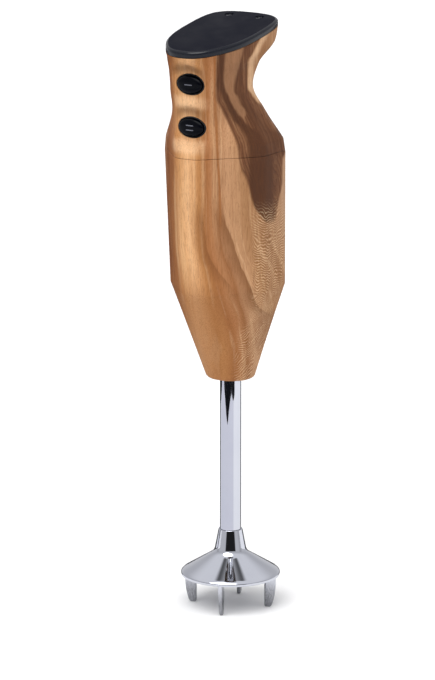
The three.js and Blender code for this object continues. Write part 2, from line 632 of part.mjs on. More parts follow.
function coolingFan() {
  const { bottom, discTop, vaneTop, top, hubR, discR, vanes } = FAN;
  const hub = rod(hubR, bottom, top);
  const disc = rod(discR, bottom, discTop, 32);
  const blades = Array.from({ length: vanes }, (_, i) => (
    block([hubR - 1, -0.5, discTop - GAP], [discR - 0.5, 0.5, vaneTop]).rotate([0, 0, (360 * i) / vanes])));
  return join([hub, disc, ...blades]).subtract(rod(MOTOR_SHAFT_R + 0.1, bottom - 1, top + 1));
}

// Part of a ring about the drive axis, between two angles in degrees.
function ringSector(inner, outer, from, to, bottom, top) {
  const [start, end] = [from, to].map(THREE.MathUtils.degToRad);
  const shape = new THREE.Shape();
  shape.absarc(0, 0, outer, start, end, false);
  shape.absarc(0, 0, inner, end, start, true);
  shape.closePath();
  return extruded(shape, top - bottom, (geometry) => geometry.translate(0, 0, bottom));
}

function statorStack() {
  const margin = 1.2;
  const slots = POLES.flatMap(({ angle }) => [-1, 1].map((side) => {
    const edges = [COIL.innerAngle - margin, COIL.outerAngle + margin].map((a) => angle + side * a);
    edges.sort((p, q) => p - q);
    return ringSector(COIL.inner - GAP, COIL.outer + GAP, ...edges, CORE_BOTTOM - 1, CORE_TOP + 1);
  }));
  const stack = ringOf(STATOR_BORE_R, STATOR_R, CORE_BOTTOM, CORE_TOP, 36);
  return cut(stack, [...slots, ...boltHoles(CORE_BOTTOM - 1, CORE_TOP + 1)]);
}

function fieldCoil({ angle }) {
  const { inner, outer, innerAngle, outerAngle, overhang } = COIL;
  const around = (half) => [angle - half, angle + half];
  const ends = [CORE_BOTTOM - overhang, CORE_TOP + overhang];
  const whole = ringSector(inner, outer, ...around(outerAngle), ...ends);
  const window = ringSector(inner - 1, outer + 1, ...around(innerAngle), CORE_BOTTOM - GAP, CORE_TOP + GAP);
  return whole.subtract(window);
}

function slotBars(halfWidth, from, to, bottom, top) {
  return Array.from({ length: SLOT_COUNT }, (_, i) => block([from, -halfWidth, bottom], [to, halfWidth, top])
    .rotate([0, 0, (360 * i) / SLOT_COUNT]));
}

function armatureCore() {
  const stack = ringOf(MOTOR_SHAFT_R + 0.1, CORE_R, CORE_BOTTOM, CORE_TOP, 48);
  return cut(stack, slotBars(SLOT.halfWidth, SLOT.floorR, CORE_R + 1, CORE_BOTTOM - 1, CORE_TOP + 1));
}

function armatureWinding() {
  const { inner, shoulder, outer, bottom, top } = WINDING;
  const lump = (low, high) => turned([[inner, low], [shoulder, low], [outer, low + 1], [outer, high - 1],
    [shoulder, high], [inner, high]]);
  const bars = slotBars(SLOT.wireHalf, SLOT.wireFrom, SLOT.wireTo, CORE_BOTTOM - 2, CORE_TOP + 2);
  return join([lump(bottom, CORE_BOTTOM - GAP), lump(CORE_TOP + GAP, top), ...bars]);
}

function commutator() {
  const { outer, bottom, top, grooveHalf, grooveFloorR } = COMMUTATOR;
  const grooves = slotBars(grooveHalf, grooveFloorR, outer + 1, bottom + 1.1, top + 0.5);
  return cut(ringOf(MOTOR_SHAFT_R + 0.1, outer, bottom, top, 24), grooves);
}

// Pieces drawn towards the rear are turned half round for the front.
const turnedTo = (shape, side) => (side === 'front' ? shape.rotate([0, 0, 180]) : shape);

function brushBlock(from, to, spare = 0) {
  const half = BRUSH.halfWidth + spare;
  return block([-half, from, BRUSH.bottom - spare], [half, to, BRUSH.top + spare]);
}

function brushHolder(side) {
  const { halfWidth, inner, outer, bottom, top } = BRUSH_HOLDER;
  const shell = block([-halfWidth, inner, bottom], [halfWidth, outer, top]);
  return turnedTo(shell.subtract(brushBlock(inner - 1, outer + 1, BRUSH.clearance)), side);
}

const carbonBrush = (side) => turnedTo(brushBlock(BRUSH.tip, BRUSH.tail), side);

function statorBolt(x) {
  const shank = rod(BOLT_R, BOLT.bottom, BOLT.headBottom + 1, 16);
  return shank.add(rod(BOLT.headR, BOLT.headBottom, BOLT.headTop, 6)).translate([x, 0, 0]);
}

// ---------------------------------------------------------------------------------------------
// Electronics
// ---------------------------------------------------------------------------------------------

function circuitBoard() {
  const { halfWidth, front, rear, bottom, top, holeInset, holeR } = BOARD;
  const board = block([-halfWidth, -front, bottom], [halfWidth, -rear, top]);
  const holes = [-1, 1].flatMap((side) => [bottom + holeInset, top - holeInset].map((z) => (
    crossRod(holeR, side * (halfWidth - holeInset), z, -front - 1, -rear + 1))));
  return cut(board, holes);
}

function suppressionCapacitor() {
  const { halfWidth, front, bottom, top } = CAPACITOR;
  return block([-halfWidth, -front, bottom], [halfWidth, -BOARD.front - GAP, top]);
}

function chokeCoil() {
  const { inner, outer, bottom, top } = CHOKE;
  return ringOf(inner, outer, bottom, top, 24).translate([0, -(BOARD.front + 0.8 + outer), 0]);
}

// ---------------------------------------------------------------------------------------------
// Assembly
// ---------------------------------------------------------------------------------------------

const blender = new THREE.Group();
blender.position.y = AXIS_Y;

function add(name, shape, look) {
  const mesh = new THREE.Mesh(geometryOf(shape), LOOKS[look]());
  mesh.name = name;
  blender.add(mesh);
}

add('lower_housing', lowerHousing(), 'wood');
add('upper_housing', upperHousing(), 'wood');
add('housing_joint_ring', jointRing(), 'rubber');
add('top_cap', topCap(), 'blackMatte');
CAP_SCREWS.forEach((place, i) => add(`cap_screw_${i + 1}`, capScrew(place), 'steel'));
add('cord_gland', cordGland(), 'rubber');

BUTTONS.forEach((place) => {
  add(`button_${place.name}`, button(place), 'blackGloss');
  add(`button_seal_${place.name}`, buttonSeal(place), 'rubber');
  add(`switch_plunger_${place.name}`, switchPlunger(place), 'nylon');
  add(`micro_switch_${place.name}`, microSwitch(place), 'blackMatte');
});
add('switch_carrier', switchCarrier(), 'nylon');

add('blade_guard', bladeGuard(), 'chrome');
add('shaft_tube', shaftTube(), 'chrome');
add('tube_clamp_ring', tubeClampRing(), 'steel');
add('blade', blade(), 'steel');

add('drive_shaft', driveShaft(), 'steel');
add('cross_pin', crossPin(), 'steel');
add('shaft_bush_lower', shaftBush(BUSH.lowerBottom), 'bronze');
add('shaft_bush_upper', shaftBush(BUSH.upperBottom), 'bronze');
add('shaft_seal', shaftSeal(), 'rubber');
add('shaft_coupling', shaftCoupling(), 'nylon');

add('motor_shaft', motorShaft(), 'steel');
add('motor_bearing_lower', motorBearing(BEARING.lowerBottom), 'bronze');
add('motor_bearing_upper', motorBearing(BEARING.upperBottom), 'bronze');
add('bearing_carrier_lower', bearingCarrier(CARRIER_PLATE.lowerBottom), 'nylon');
add('bearing_carrier_upper', bearingCarrier(CARRIER_PLATE.upperBottom), 'nylon');
add('cooling_fan', coolingFan(), 'nylon');
add('stator_stack', statorStack(), 'lamination');
POLES.forEach((pole) => add(`field_coil_${pole.name}`, fieldCoil(pole), 'copper'));
add('armature_core', armatureCore(), 'lamination');
add('armature_winding', armatureWinding(), 'copper');
add('commutator', commutator(), 'copper');
['front', 'rear'].forEach((side) => {
  add(`brush_holder_${side}`, brushHolder(side), 'bronze');
  add(`carbon_brush_${side}`, carbonBrush(side), 'carbon');
});
[-BOLT_X, BOLT_X].forEach((x, i) => add(`stator_bolt_${i + 1}`, statorBolt(x), 'steel'));

add('circuit_board', circuitBoard(), 'board');
add('suppression_capacitor', suppressionCapacitor(), 'carbon');
add('choke_coil', chokeCoil(), 'copper');

export default blender;
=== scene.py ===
"""The looks of a stick blender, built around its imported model.

The model stands on its leg tips with its buttons facing -Y, in metres. Lengths in this script are
millimetres measured from the drive axis, and in_frame() turns them into the model's own frame.
"""

import json
import math
from math import cos, pi, radians, sin

import bmesh
import bpy
from mathutils import Matrix, Vector


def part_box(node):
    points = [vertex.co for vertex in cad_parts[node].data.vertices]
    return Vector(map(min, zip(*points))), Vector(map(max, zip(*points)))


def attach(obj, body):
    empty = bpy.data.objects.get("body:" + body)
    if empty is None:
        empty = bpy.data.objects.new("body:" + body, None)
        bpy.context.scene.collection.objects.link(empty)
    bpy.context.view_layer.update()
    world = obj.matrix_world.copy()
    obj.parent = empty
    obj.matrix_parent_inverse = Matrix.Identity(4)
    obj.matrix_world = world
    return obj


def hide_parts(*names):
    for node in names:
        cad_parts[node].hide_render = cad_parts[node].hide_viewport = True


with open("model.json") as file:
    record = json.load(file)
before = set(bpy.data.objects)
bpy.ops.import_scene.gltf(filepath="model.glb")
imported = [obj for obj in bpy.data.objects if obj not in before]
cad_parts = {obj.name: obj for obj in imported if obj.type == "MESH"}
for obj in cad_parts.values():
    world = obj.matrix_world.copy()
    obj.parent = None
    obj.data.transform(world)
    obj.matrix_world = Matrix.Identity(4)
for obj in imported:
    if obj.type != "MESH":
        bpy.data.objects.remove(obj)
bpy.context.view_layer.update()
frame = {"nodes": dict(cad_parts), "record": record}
AXIS_Y = sum(corner.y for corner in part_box("drive_shaft")) / 2

# ---- Driving dimensions, in millimetres: the CAD source's, apart from those that say otherwise ----

GAP = 0.3
WALL = 3
SEAM_Z = 269.6
CAP_PLANE_Z = 335.5
CAP_TILT = radians(10)
TILT_START_Z = 276
CAP_THICKNESS = 4
CAP_LIP = 2.6
FLOOR_THICKNESS = 4.5

SECTION_KEYS = ("z", "front", "rear", "side", "front_flat", "rear_flat", "side_from", "side_to", "round")
SECTIONS = [dict(zip(SECTION_KEYS, values)) for values in (
    (135.7, 12.9, 13.2, 13.5, 5.4, 5.4, 6, -5.6, 0.9),
    (192, 42.3, 27, 31, 6.8, 8.2, 16.8, -11, 0.41),
    (268.4, 47.8, 28.7, 33, 6.5, 9, 19.2, -7.2, 0.38),
    (276, 47.5, 29.6, 32.4, 6.7, 9, 19.2, -6, 0.44),
    (293, 42.6, 12.7, 26.4, 8.2, 7.2, 21.8, 3, 0.66),
    (309, 43.6, 1.8, 23.7, 9.6, 9, 28, 12.3, 0.79),
    (320.5, 46.1, 8.6, 22.8, 11, 10.8, 29.2, 4, 0.86),
    (329.1, 47.6, 19.8, 25.2, 10.4, 14, 28.6, -9.6, 0.84),
    (CAP_PLANE_Z, 51, 22, 24.9, 10.5, 13.8, 29, -13.4, 0.87),
)]
FIRST_SMOOTH_SECTION = 3

BUTTONS = [
    {"name": "speed_1", "body": "button_1", "z": 310.9, "face": 42.2, "bars": 1},
    {"name": "speed_2", "body": "button_2", "z": 286.6, "face": 40.9, "bars": 2},
]
BUTTON_HALF = (8, 4.85)
BUTTON_SEAL_WIDTH = 0.7
BUTTON_EDGE_PROUD = 0.7
BUTTON_DOME = 1.8
BUTTON_FLANGE_SPREAD = (0.9, 1.9)  # 0.3 less than the CAD source's, to clear the housing's finer wall
BUTTON_FLANGE_THICKNESS = 1.3
BUTTON_STEM_R = 2.2
BUTTON_STEM_LENGTH = 2.6
BUTTON_FLANGE_SETBACK = 0.9  # from the housing's inner face to the flange
DISH_HALF = (13.4, 12.3)
DISH_FLOOR = 0.6

CAP_SCREWS = [(-10, 14.2), (10, 14.2)]
SCREW_RECESS_DEPTH = 2.2
GLAND = {"y": 10.8, "z": 323.1, "slope": 45, "bore": 3.4, "body": 4.3, "flange": 5.9, "recess": 1.2}

TUBE_R = 6.1
TUBE_BORE_R = 5.1
TUBE_BOTTOM = 33.2
TUBE_TOP = 154
COLLAR_R = 6.85
COLLAR_TOP = 45.6
NECK_R = 9.4
NECK_BOTTOM = 32
RIM_R = 28.6
RIM_Z = 19.6
BELL_WALL = 1.3
LEG_COUNT = 4
LEG_TIP_R = 22.2
LEG_INNER_R = 20.2
LEG_OUTER_R = 26.8
LEG_TIP_THICKNESS = 1.8  # the legs are slimmer than the CAD source's, which are 3 thick throughout
LEG_TAPER = 0.03  # how much thicker a leg gets for each millimetre up
LEG_TURN = radians(18.8)
BLADE_TURN = radians(32)
BLADE_TIP_R = 19
BLADE_ROOT_R = 3.4  # inside the hub, 0.2 further in than the CAD source's
BLADE_PITCH = radians(14)
SHAFT_R = 2.4
PIN_R = 0.9
PIN_Z = 18
PIN_LENGTH = 8.2

VIEW_AZIMUTH = radians(32)  # the side looked at most, from the button side towards +X


# ---- Numbers and outlines ----

def lerp(a, b, t):
    return a + (b - a) * t


def clamp(value):
    return min(1.0, max(0.0, value))


def smoothstep(value, low, high):
    """A soft step from 0 at low to 1 at high."""
    t = clamp((value - low) / (high - low))
    return t * t * (3 - 2 * t)


def steps(start, end, count):
    """count + 1 even values from start to end."""
    return [lerp(start, end, i / count) for i in range(count + 1)]


def section_value(key, z):
    """A section's value at a height: straight between the lower sections, a smooth curve above them."""
    knots = [section["z"] for section in SECTIONS]
    values = [section[key] for section in SECTIONS]
    last = len(knots) - 1
    i = max(k for k in range(last) if k == 0 or z > knots[k])
    slope = [(values[k + 1] - values[k]) / (knots[k + 1] - knots[k]) for k in range(last)]
    span = knots[i + 1] - knots[i]
    t = (z - knots[i]) / span
    if i < FIRST_SMOOTH_SECTION:
        return lerp(values[i], values[i + 1], t)

    def tangent(k):
        if k == FIRST_SMOOTH_SECTION:
            return slope[k]
        if k == last:
            return slope[k - 1]
        before, after = slope[k - 1], slope[k]
        return 0 if before * after <= 0 else 2 * before * after / (before + after)

    return ((2 * t ** 3 - 3 * t ** 2 + 1) * values[i] + (t ** 3 - 2 * t ** 2 + t) * span * tangent(i)
            + (3 * t ** 2 - 2 * t ** 3) * values[i + 1] + (t ** 3 - t ** 2) * span * tangent(i + 1))


def arc(start, corner, end, count):
    """A curve from start to end that is pulled towards a corner."""
    start, corner, end = Vector(start), Vector(corner), Vector(end)
    return [start * (1 - u) ** 2 + corner * 2 * u * (1 - u) + end * u ** 2 for u in steps(0, 1, count)]


def body_ring(z, inset=0.0, lift=0.0, per_corner=10, per_flat=6):
    """The body's rounded octagon at a height, drawn in by inset and tipped by the cap's share of tilt."""
    s = {key: section_value(key, z) for key in SECTION_KEYS[1:]}
    front, rear, side = s["front"], s["rear"], s["side"]
    corners = [
        (s["front_flat"], front), (side, s["side_from"]), (side, s["side_to"]), (s["rear_flat"], -rear),
        (-s["rear_flat"], -rear), (-side, s["side_to"]), (-side, s["side_from"]), (-s["front_flat"], front),
    ]
    middle, depth = (front - rear) / 2, (front + rear) / 2
    tilt = CAP_TILT * clamp((z - TILT_START_Z) / (CAP_PLANE_Z - TILT_START_Z))
    outline = []
    for i, corner in enumerate(corners):
        before, after = Vector(corners[i - 1]), Vector(corners[(i + 1) % len(corners)])
        corner = Vector(corner)
        start = corner.lerp(before, s["round"] / 2)
        end = corner.lerp(after, s["round"] / 2)
        next_start = after.lerp(corner, s["round"] / 2)
        outline += arc(start, corner, end, per_corner)
        outline += [end.lerp(next_start, u) for u in steps(0, 1, per_flat + 1)[1:-1]]
    ring = []
    for across, forward in outline:
        reach = middle + (forward - middle) * (depth - inset) / depth
        ring.append(Vector((across * (side - inset) / side, -reach, z + lift - math.tan(tilt) * reach)))
    return ring


def with_dishes(rings, depth=0.0, softening=6):
    """Draws the front of the rings back to a flat floor round each button, with soft edges."""
    drawn_back = []
    for ring in rings:
        row = []
        for point in ring:
            forward, shift = -point.y, 0.0
            for button in BUTTONS:
                spread = (point.x / DISH_HALF[0]) ** 2 + ((point.z - button["z"]) / DISH_HALF[1]) ** 2
                share = 1 - smoothstep(spread, DISH_FLOOR, 1)
                shift += share * max(0, forward - shift - (button["face"] - depth))
            row.append(shift)
        drawn_back.append(row)
    for _ in range(softening):
        before = [list(row) for row in drawn_back]
        for i in range(1, len(rings) - 1):
            for j in range(-1, len(rings[i]) - 1):
                around = before[i - 1][j] + before[i + 1][j] + before[i][j - 1] + before[i][j + 1]
                drawn_back[i][j] = (before[i][j] * 2 + around) / 6
    return [[point + Vector((0, shift, 0)) for point, shift in zip(ring, row)]
            for ring, row in zip(rings, drawn_back)]


SQUARE = ((-1, -1), (1, -1), (1, 1), (-1, 1))


def full_turn(count):
    return [2 * pi * k / count for k in range(count)]


def oval(half, forward, z):
    """An upright oval facing the front, with its half width and half height."""
    return [Vector((half[0] * cos(a), -forward, z + half[1] * sin(a))) for a in full_turn(72)]


def upright_box(half_x, half_y, low, high):
    """The two level rings of a box about the drive axis."""
    return [[Vector((x * half_x, y * half_y, z)) for x, y in SQUARE] for z in (low, high)]


def grown(half, by):
    return (half[0] + by, half[1] + by)


def filleted(points, steps_per_corner=4):
    """A closed outline of (across, up, fillet) corners with each corner rounded over its fillet's length.
    A point a little beyond each end of a rounding keeps the straight runs flat when they are shaded."""
    outline = []
    for i, (across, up, fillet) in enumerate(points):
        corner = Vector((across, up))
        if fillet == 0:
            outline.append(corner)
            continue
        arms = [Vector(points[k % len(points)][:2]) - corner for k in (i - 1, i + 1)]
        start, end = [corner + arm.normalized() * min(fillet, arm.length * 0.4) for arm in arms]
        before, after = [corner + arm.normalized() * min(fillet * 1.3, arm.length * 0.45) for arm in arms]
        outline += [before, *arc(start, corner, end, steps_per_corner), after]
    return outline


# ---- Meshes ----

def in_frame(point):
    return Vector((point[0], point[1] + AXIS_Y * 1000, point[2])) / 1000


def in_scene(name, data):
    thing = bpy.data.objects.new(name, data)
    bpy.context.scene.collection.objects.link(thing)
    return thing


def mesh_object(name, points, faces):
    """A closed mesh from points in millimetres about the drive axis, with its faces turned outwards."""
    mesh = bpy.data.meshes.new(name)
    mesh.from_pydata([in_frame(point) for point in points], [], faces)
    shape = bmesh.new()
    shape.from_mesh(mesh)
    bmesh.ops.remove_doubles(shape, verts=shape.verts, dist=1e-6)
    bmesh.ops.dissolve_degenerate(shape, edges=shape.edges, dist=1e-7)
    bmesh.ops.recalc_face_normals(shape, faces=shape.faces)
    shape.to_mesh(mesh)
    shape.free()
    return in_scene(name, mesh)


def skinned(name, rings, loop=False):
    """A solid skinned over rings of equal length: closed end to end, or capped at its first and last ring."""
    count = len(rings[0])
    points = [point for ring in rings for point in ring]
    faces = []
    for i in range(len(rings) if loop else len(rings) - 1):
        low, high = i * count, (i + 1) % len(rings) * count
        for j in range(count):
            k = (j + 1) % count
            faces.append((low + j, low + k, high + k, high + j))
    if not loop:
        for ring, start in ((rings[0], 0), (rings[-1], (len(rings) - 1) * count)):
            middle = sum((Vector(point) for point in ring), Vector()) / count
            points.append(middle)
            faces += [(len(points) - 1, start + j, start + (j + 1) % count) for j in range(count)]
    return mesh_object(name, points, faces)


def turned(name, profile, segments=128):
    """A solid of revolution about the drive axis from a closed outline of (radius, z) points."""
    rings = [[Vector((r * cos(a), r * sin(a), z)) for r, z in profile] for a in full_turn(segments)]
    return skinned(name, rings, loop=True)


def with_modifier(piece, kind, **settings):
    """Adds one modifier and applies it to the piece's mesh."""
    modifier = piece.modifiers.new(kind.lower(), kind)
    for key, value in settings.items():
        setattr(modifier, key, value)
    graph = bpy.context.evaluated_depsgraph_get()
    mesh = bpy.data.meshes.new_from_object(piece.evaluated_get(graph))
    piece.modifiers.clear()
    piece.data = mesh


def combined(piece, tool, operation):
    """Cuts the piece by, or joins it to, a tool that is used up."""
    bpy.context.view_layer.update()
    with_modifier(piece, "BOOLEAN", object=tool, operation=operation, solver="EXACT")
    bpy.data.objects.remove(tool)


def moved(piece, matrix):
    """Moves a piece's mesh by a matrix in millimetres about the drive axis."""
    to_axis = Matrix.Scale(1000, 4) @ Matrix.Translation((0, -AXIS_Y, 0))
    piece.data.transform(to_axis.inverted() @ matrix @ to_axis)
    return piece


# ---- Materials ----

class Nodes:
    """A shader node tree, with short ways to add nodes."""

    def __init__(self, owner):
        owner.use_nodes = True
        self.tree = owner.node_tree

    def add(self, kind, inputs=None, **settings):
        node = self.tree.nodes.new("ShaderNode" + kind)
        for key, value in settings.items():
            setattr(node, key, value)
        for key, value in (inputs or {}).items():
            self.plug(node.inputs[key], value)
        return node

    def plug(self, socket, value):
        if isinstance(value, bpy.types.NodeSocket):
            self.tree.links.new(value, socket)
        else:
            socket.default_value = value

    def math(self, operation, *values):
        node = self.add("Math", operation=operation)
        for socket, value in zip(node.inputs, values):
            self.plug(socket, value)
        return node.outputs[0]

    def plus(self, a, b):
        return self.math("ADD", a, b)

    def less(self, a, b):
        return self.math("SUBTRACT", a, b)

    def times(self, first, *others):
        for other in others:
            first = self.math("MULTIPLY", first, other)
        return first

    def size(self, value):
        return self.math("ABSOLUTE", value)

    def waves(self, value, pitch):
        """A sine that repeats at the pitch."""
        return self.math("SINE", self.times(value, 2 * pi / pitch))

    def span(self, value, low, high, to_low=0.0, to_high=1.0):
        """Maps a value's range onto another with soft, clamped ends."""
        node = self.add("MapRange", {"Value": value, "From Min": low, "From Max": high,
                                     "To Min": to_low, "To Max": to_high}, interpolation_type="SMOOTHSTEP")
        return node.outputs["Result"]

    def share(self, value, first, last):
        """How far a value has come from first to last, evenly and with clamped ends."""
        node = self.add("MapRange", {"Value": value, "From Min": first, "From Max": last})
        return node.outputs["Result"]

    def stretched(self, scale, vector=None):
        """Coordinates scaled along each axis, for grain that runs one way."""
        return self.add("Mapping", {"Vector": vector or self.place, "Scale": scale}).outputs["Vector"]

    def part(self, axis, vector=None):
        return self.add("SeparateXYZ", {"Vector": vector or self.place}).outputs[axis]

    def noise(self, vector=None, scale=1.0, detail=2.0, roughness=0.5, distortion=0.0):
        node = self.add("TexNoise", {"Vector": vector or self.place, "Scale": scale, "Detail": detail,
                                     "Roughness": roughness, "Distortion": distortion})
        return node.outputs["Fac"]

    def ramp(self, value, stops):
        """A colour ramp from (position, colour) stops."""
        node = self.add("ValToRGB", {"Fac": value})
        elements = node.color_ramp.elements
        while len(elements) < len(stops):
            elements.new(0.5)
        for element, (position, colour) in zip(elements, stops):
            element.position = position
            element.color = (*colour, 1)
        return node.outputs["Color"]

    def mix(self, share, first, second):
        node = self.add("Mix", data_type="RGBA")
        self.plug(node.inputs[0], share)
        for socket, colour in ((node.inputs[6], first), (node.inputs[7], second)):
            self.plug(socket, colour if isinstance(colour, bpy.types.NodeSocket) else (*colour, 1))
        return node.outputs[2]

    def curve(self, value, points, low, high):
        """A smooth curve of a value through (value, result) points; results lie between low and high."""
        first, last = points[0][0], points[-1][0]
        node = self.add("FloatCurve", {"Value": self.share(value, first, last)})
        curve = node.mapping.curves[0]
        while len(curve.points) < len(points):
            curve.points.new(0.5, 0.5)
        for knot, (at, result) in zip(curve.points, points):
            knot.location = ((at - first) / (last - first), (result - low) / (high - low))
            knot.handle_type = "AUTO_CLAMPED"
        node.mapping.update()
        result = self.add("MapRange", {"Value": node.outputs["Value"], "To Min": low, "To Max": high})
        return result.outputs["Result"]


FINISHES = {}


class Finish(Nodes):
    """A material. Its coordinates are millimetres about the drive axis."""

    def __init__(self, name, **surface):
        self.name = name
        self.material = bpy.data.materials.new(name)
        super().__init__(self.material)
        self.surface = self.tree.nodes["Principled BSDF"]
        for socket, value in surface.items():
            self.set(socket.replace("_", " ").title().replace("Ior", "IOR"), value)
        place = self.add("TexCoord").outputs["Object"]
        self.place = self.add("Mapping", {"Vector": place, "Location": (0, -1000 * AXIS_Y, 0),
                                          "Scale": (1000, 1000, 1000)}).outputs["Vector"]

    def set(self, socket, value):
        self.plug(self.surface.inputs[socket], value)

    def done(self, colour, roughness, relief, strength, distance=0.0001):
        """Sets the colour, roughness and relief, and enters the material as one of the finishes."""
        self.set("Base Color", colour)
        self.set("Roughness", roughness)
        bump = self.add("Bump", {"Height": relief, "Strength": strength, "Distance": distance})
        self.set("Normal", bump.outputs["Normal"])
        FINISHES[self.name] = self.material


def shade(colour, share):
    return tuple(channel * share for channel in colour)


def srgb(*values):
    """Linear colour from 0 to 255 screen values."""
    return tuple(v / 12.92 if v <= 0.04045 else ((v + 0.055) / 1.055) ** 2.4
                 for v in (value / 255 for value in values))


# The wood's figure, seen from VIEW_AZIMUTH: (height, place) pairs, where a place is millimetres to the
# right of the drive axis.
WALNUT_LEFT = [(228, 24), (231, 20), (236, 16.3), (243, 12.6), (253, 10), (269, 4.8), (277, 3.6),
               (287, -0.8), (299, -6.3), (305, -8.3), (340, -8)]
WALNUT_RIGHT = [(228, 24.2), (231, 24.8), (236, 25.7), (242, 26.8), (251, 29), (265, 29.2), (270, 31),
                (278, 32), (282, 27.7), (287, 23.4), (295, 18), (300, 14), (304, 11.9), (310, 9.4),
                (322, 9.6), (327, 12), (340, 20)]
CORE = [(262, 17), (276, 15), (286.5, 8.5), (291, 4), (295, 1.7), (299.5, -0.6), (304, -2.8), (313, -5),
        (340, -5)]
CORE_WIDTH = [(262, 6), (276, 4.5), (286.5, 2.6), (295, 1.8), (304, 1.5), (340, 1.5)]
PALE_INLAY = [(286, 10.5), (291, 7.5), (295, 6.2), (299.5, 3.4), (304, 1.7), (308, -0.3), (313, -0.6),
              (322, 0.6), (326, 1.5), (340, 4)]
PALE_INLAY_WIDTH = [(286, 0), (291, 0.3), (295, 2.2), (304, 2.1), (313, 3.2), (326, 4.5), (340, 6)]
RIGHT_V = [(165, 34), (170, 30), (174, 24.1), (179, 18.3), (185, 14.2), (192, 11.8), (199, 9.2), (208, 5),
           (216, 2.3), (225, -0.5), (234, -3.3), (248, -5)]
LEFT_V = [(188, 5), (199, -2.5), (206, -7.7), (215, -12.5), (225, -14.8), (235, -16.1), (250, -16.5)]
STREAK_DRIFT = [(130, 17), (150, 17), (170, 15.5), (188, 11.7), (197, 9.5), (206, 7), (223, 1.5), (240, 0),
                (345, 0)]
STREAK_REACH = (-35, 31)
WOOD_EXPOSURE = 0.95
WALNUT_LINE_PITCH = 1.7
SCALE_PITCH = 1.6

# The figure's tones, with the painted shade and highlight tones, from 0 to 255 as they look in full light.
# In a row of streaks or walnut each tone stands behind its place along the row.
STREAK_TONES = [
    (0.00, 124, 72, 38), (0.045, 152, 97, 54), (0.076, 186, 132, 84), (0.11, 202, 150, 101),
    (0.16, 222, 172, 124), (0.21, 212, 160, 112), (0.25, 182, 128, 80), (0.317, 154, 100, 60),
    (0.35, 168, 114, 74), (0.385, 166, 116, 78), (0.42, 148, 98, 62), (0.455, 174, 128, 92),
    (0.50, 186, 141, 104), (0.59, 178, 134, 97), (0.66, 162, 119, 82), (0.727, 158, 115, 80),
    (0.833, 148, 106, 73), (0.864, 162, 121, 87), (0.955, 172, 133, 101), (1.00, 180, 144, 114),
]
WALNUT_TONES = [(0.3, 84, 54, 38), (0.44, 106, 70, 49), (0.58, 126, 88, 62), (0.74, 154, 112, 80)]
# The dish tones over and under the buttons are painted shade and a painted highlight.
TONES = {
    "ring": (134, 84, 46), "flare": (237, 199, 155), "v_line": (118, 74, 42), "painted_taper_shade": (158, 104, 62),
    "foot": (118, 74, 46), "thread": (150, 95, 55), "strip": (226, 188, 150), "walnut_line": (62, 40, 30),
    "core": (72, 46, 33), "past_inlay": (80, 52, 38), "inlay": (152, 112, 82), "painted_brow_shade": (78, 50, 33),
    "painted_rim_highlight": (250, 214, 174), "scale_light": (234, 198, 156), "scale_dark": (128, 86, 52),
    "grain": (104, 64, 38), "pore": (70, 42, 26),
}


def tan(*values):
    """The wood's own colour for a tone as it looks in full light."""
    return shade(srgb(*values), WOOD_EXPOSURE)


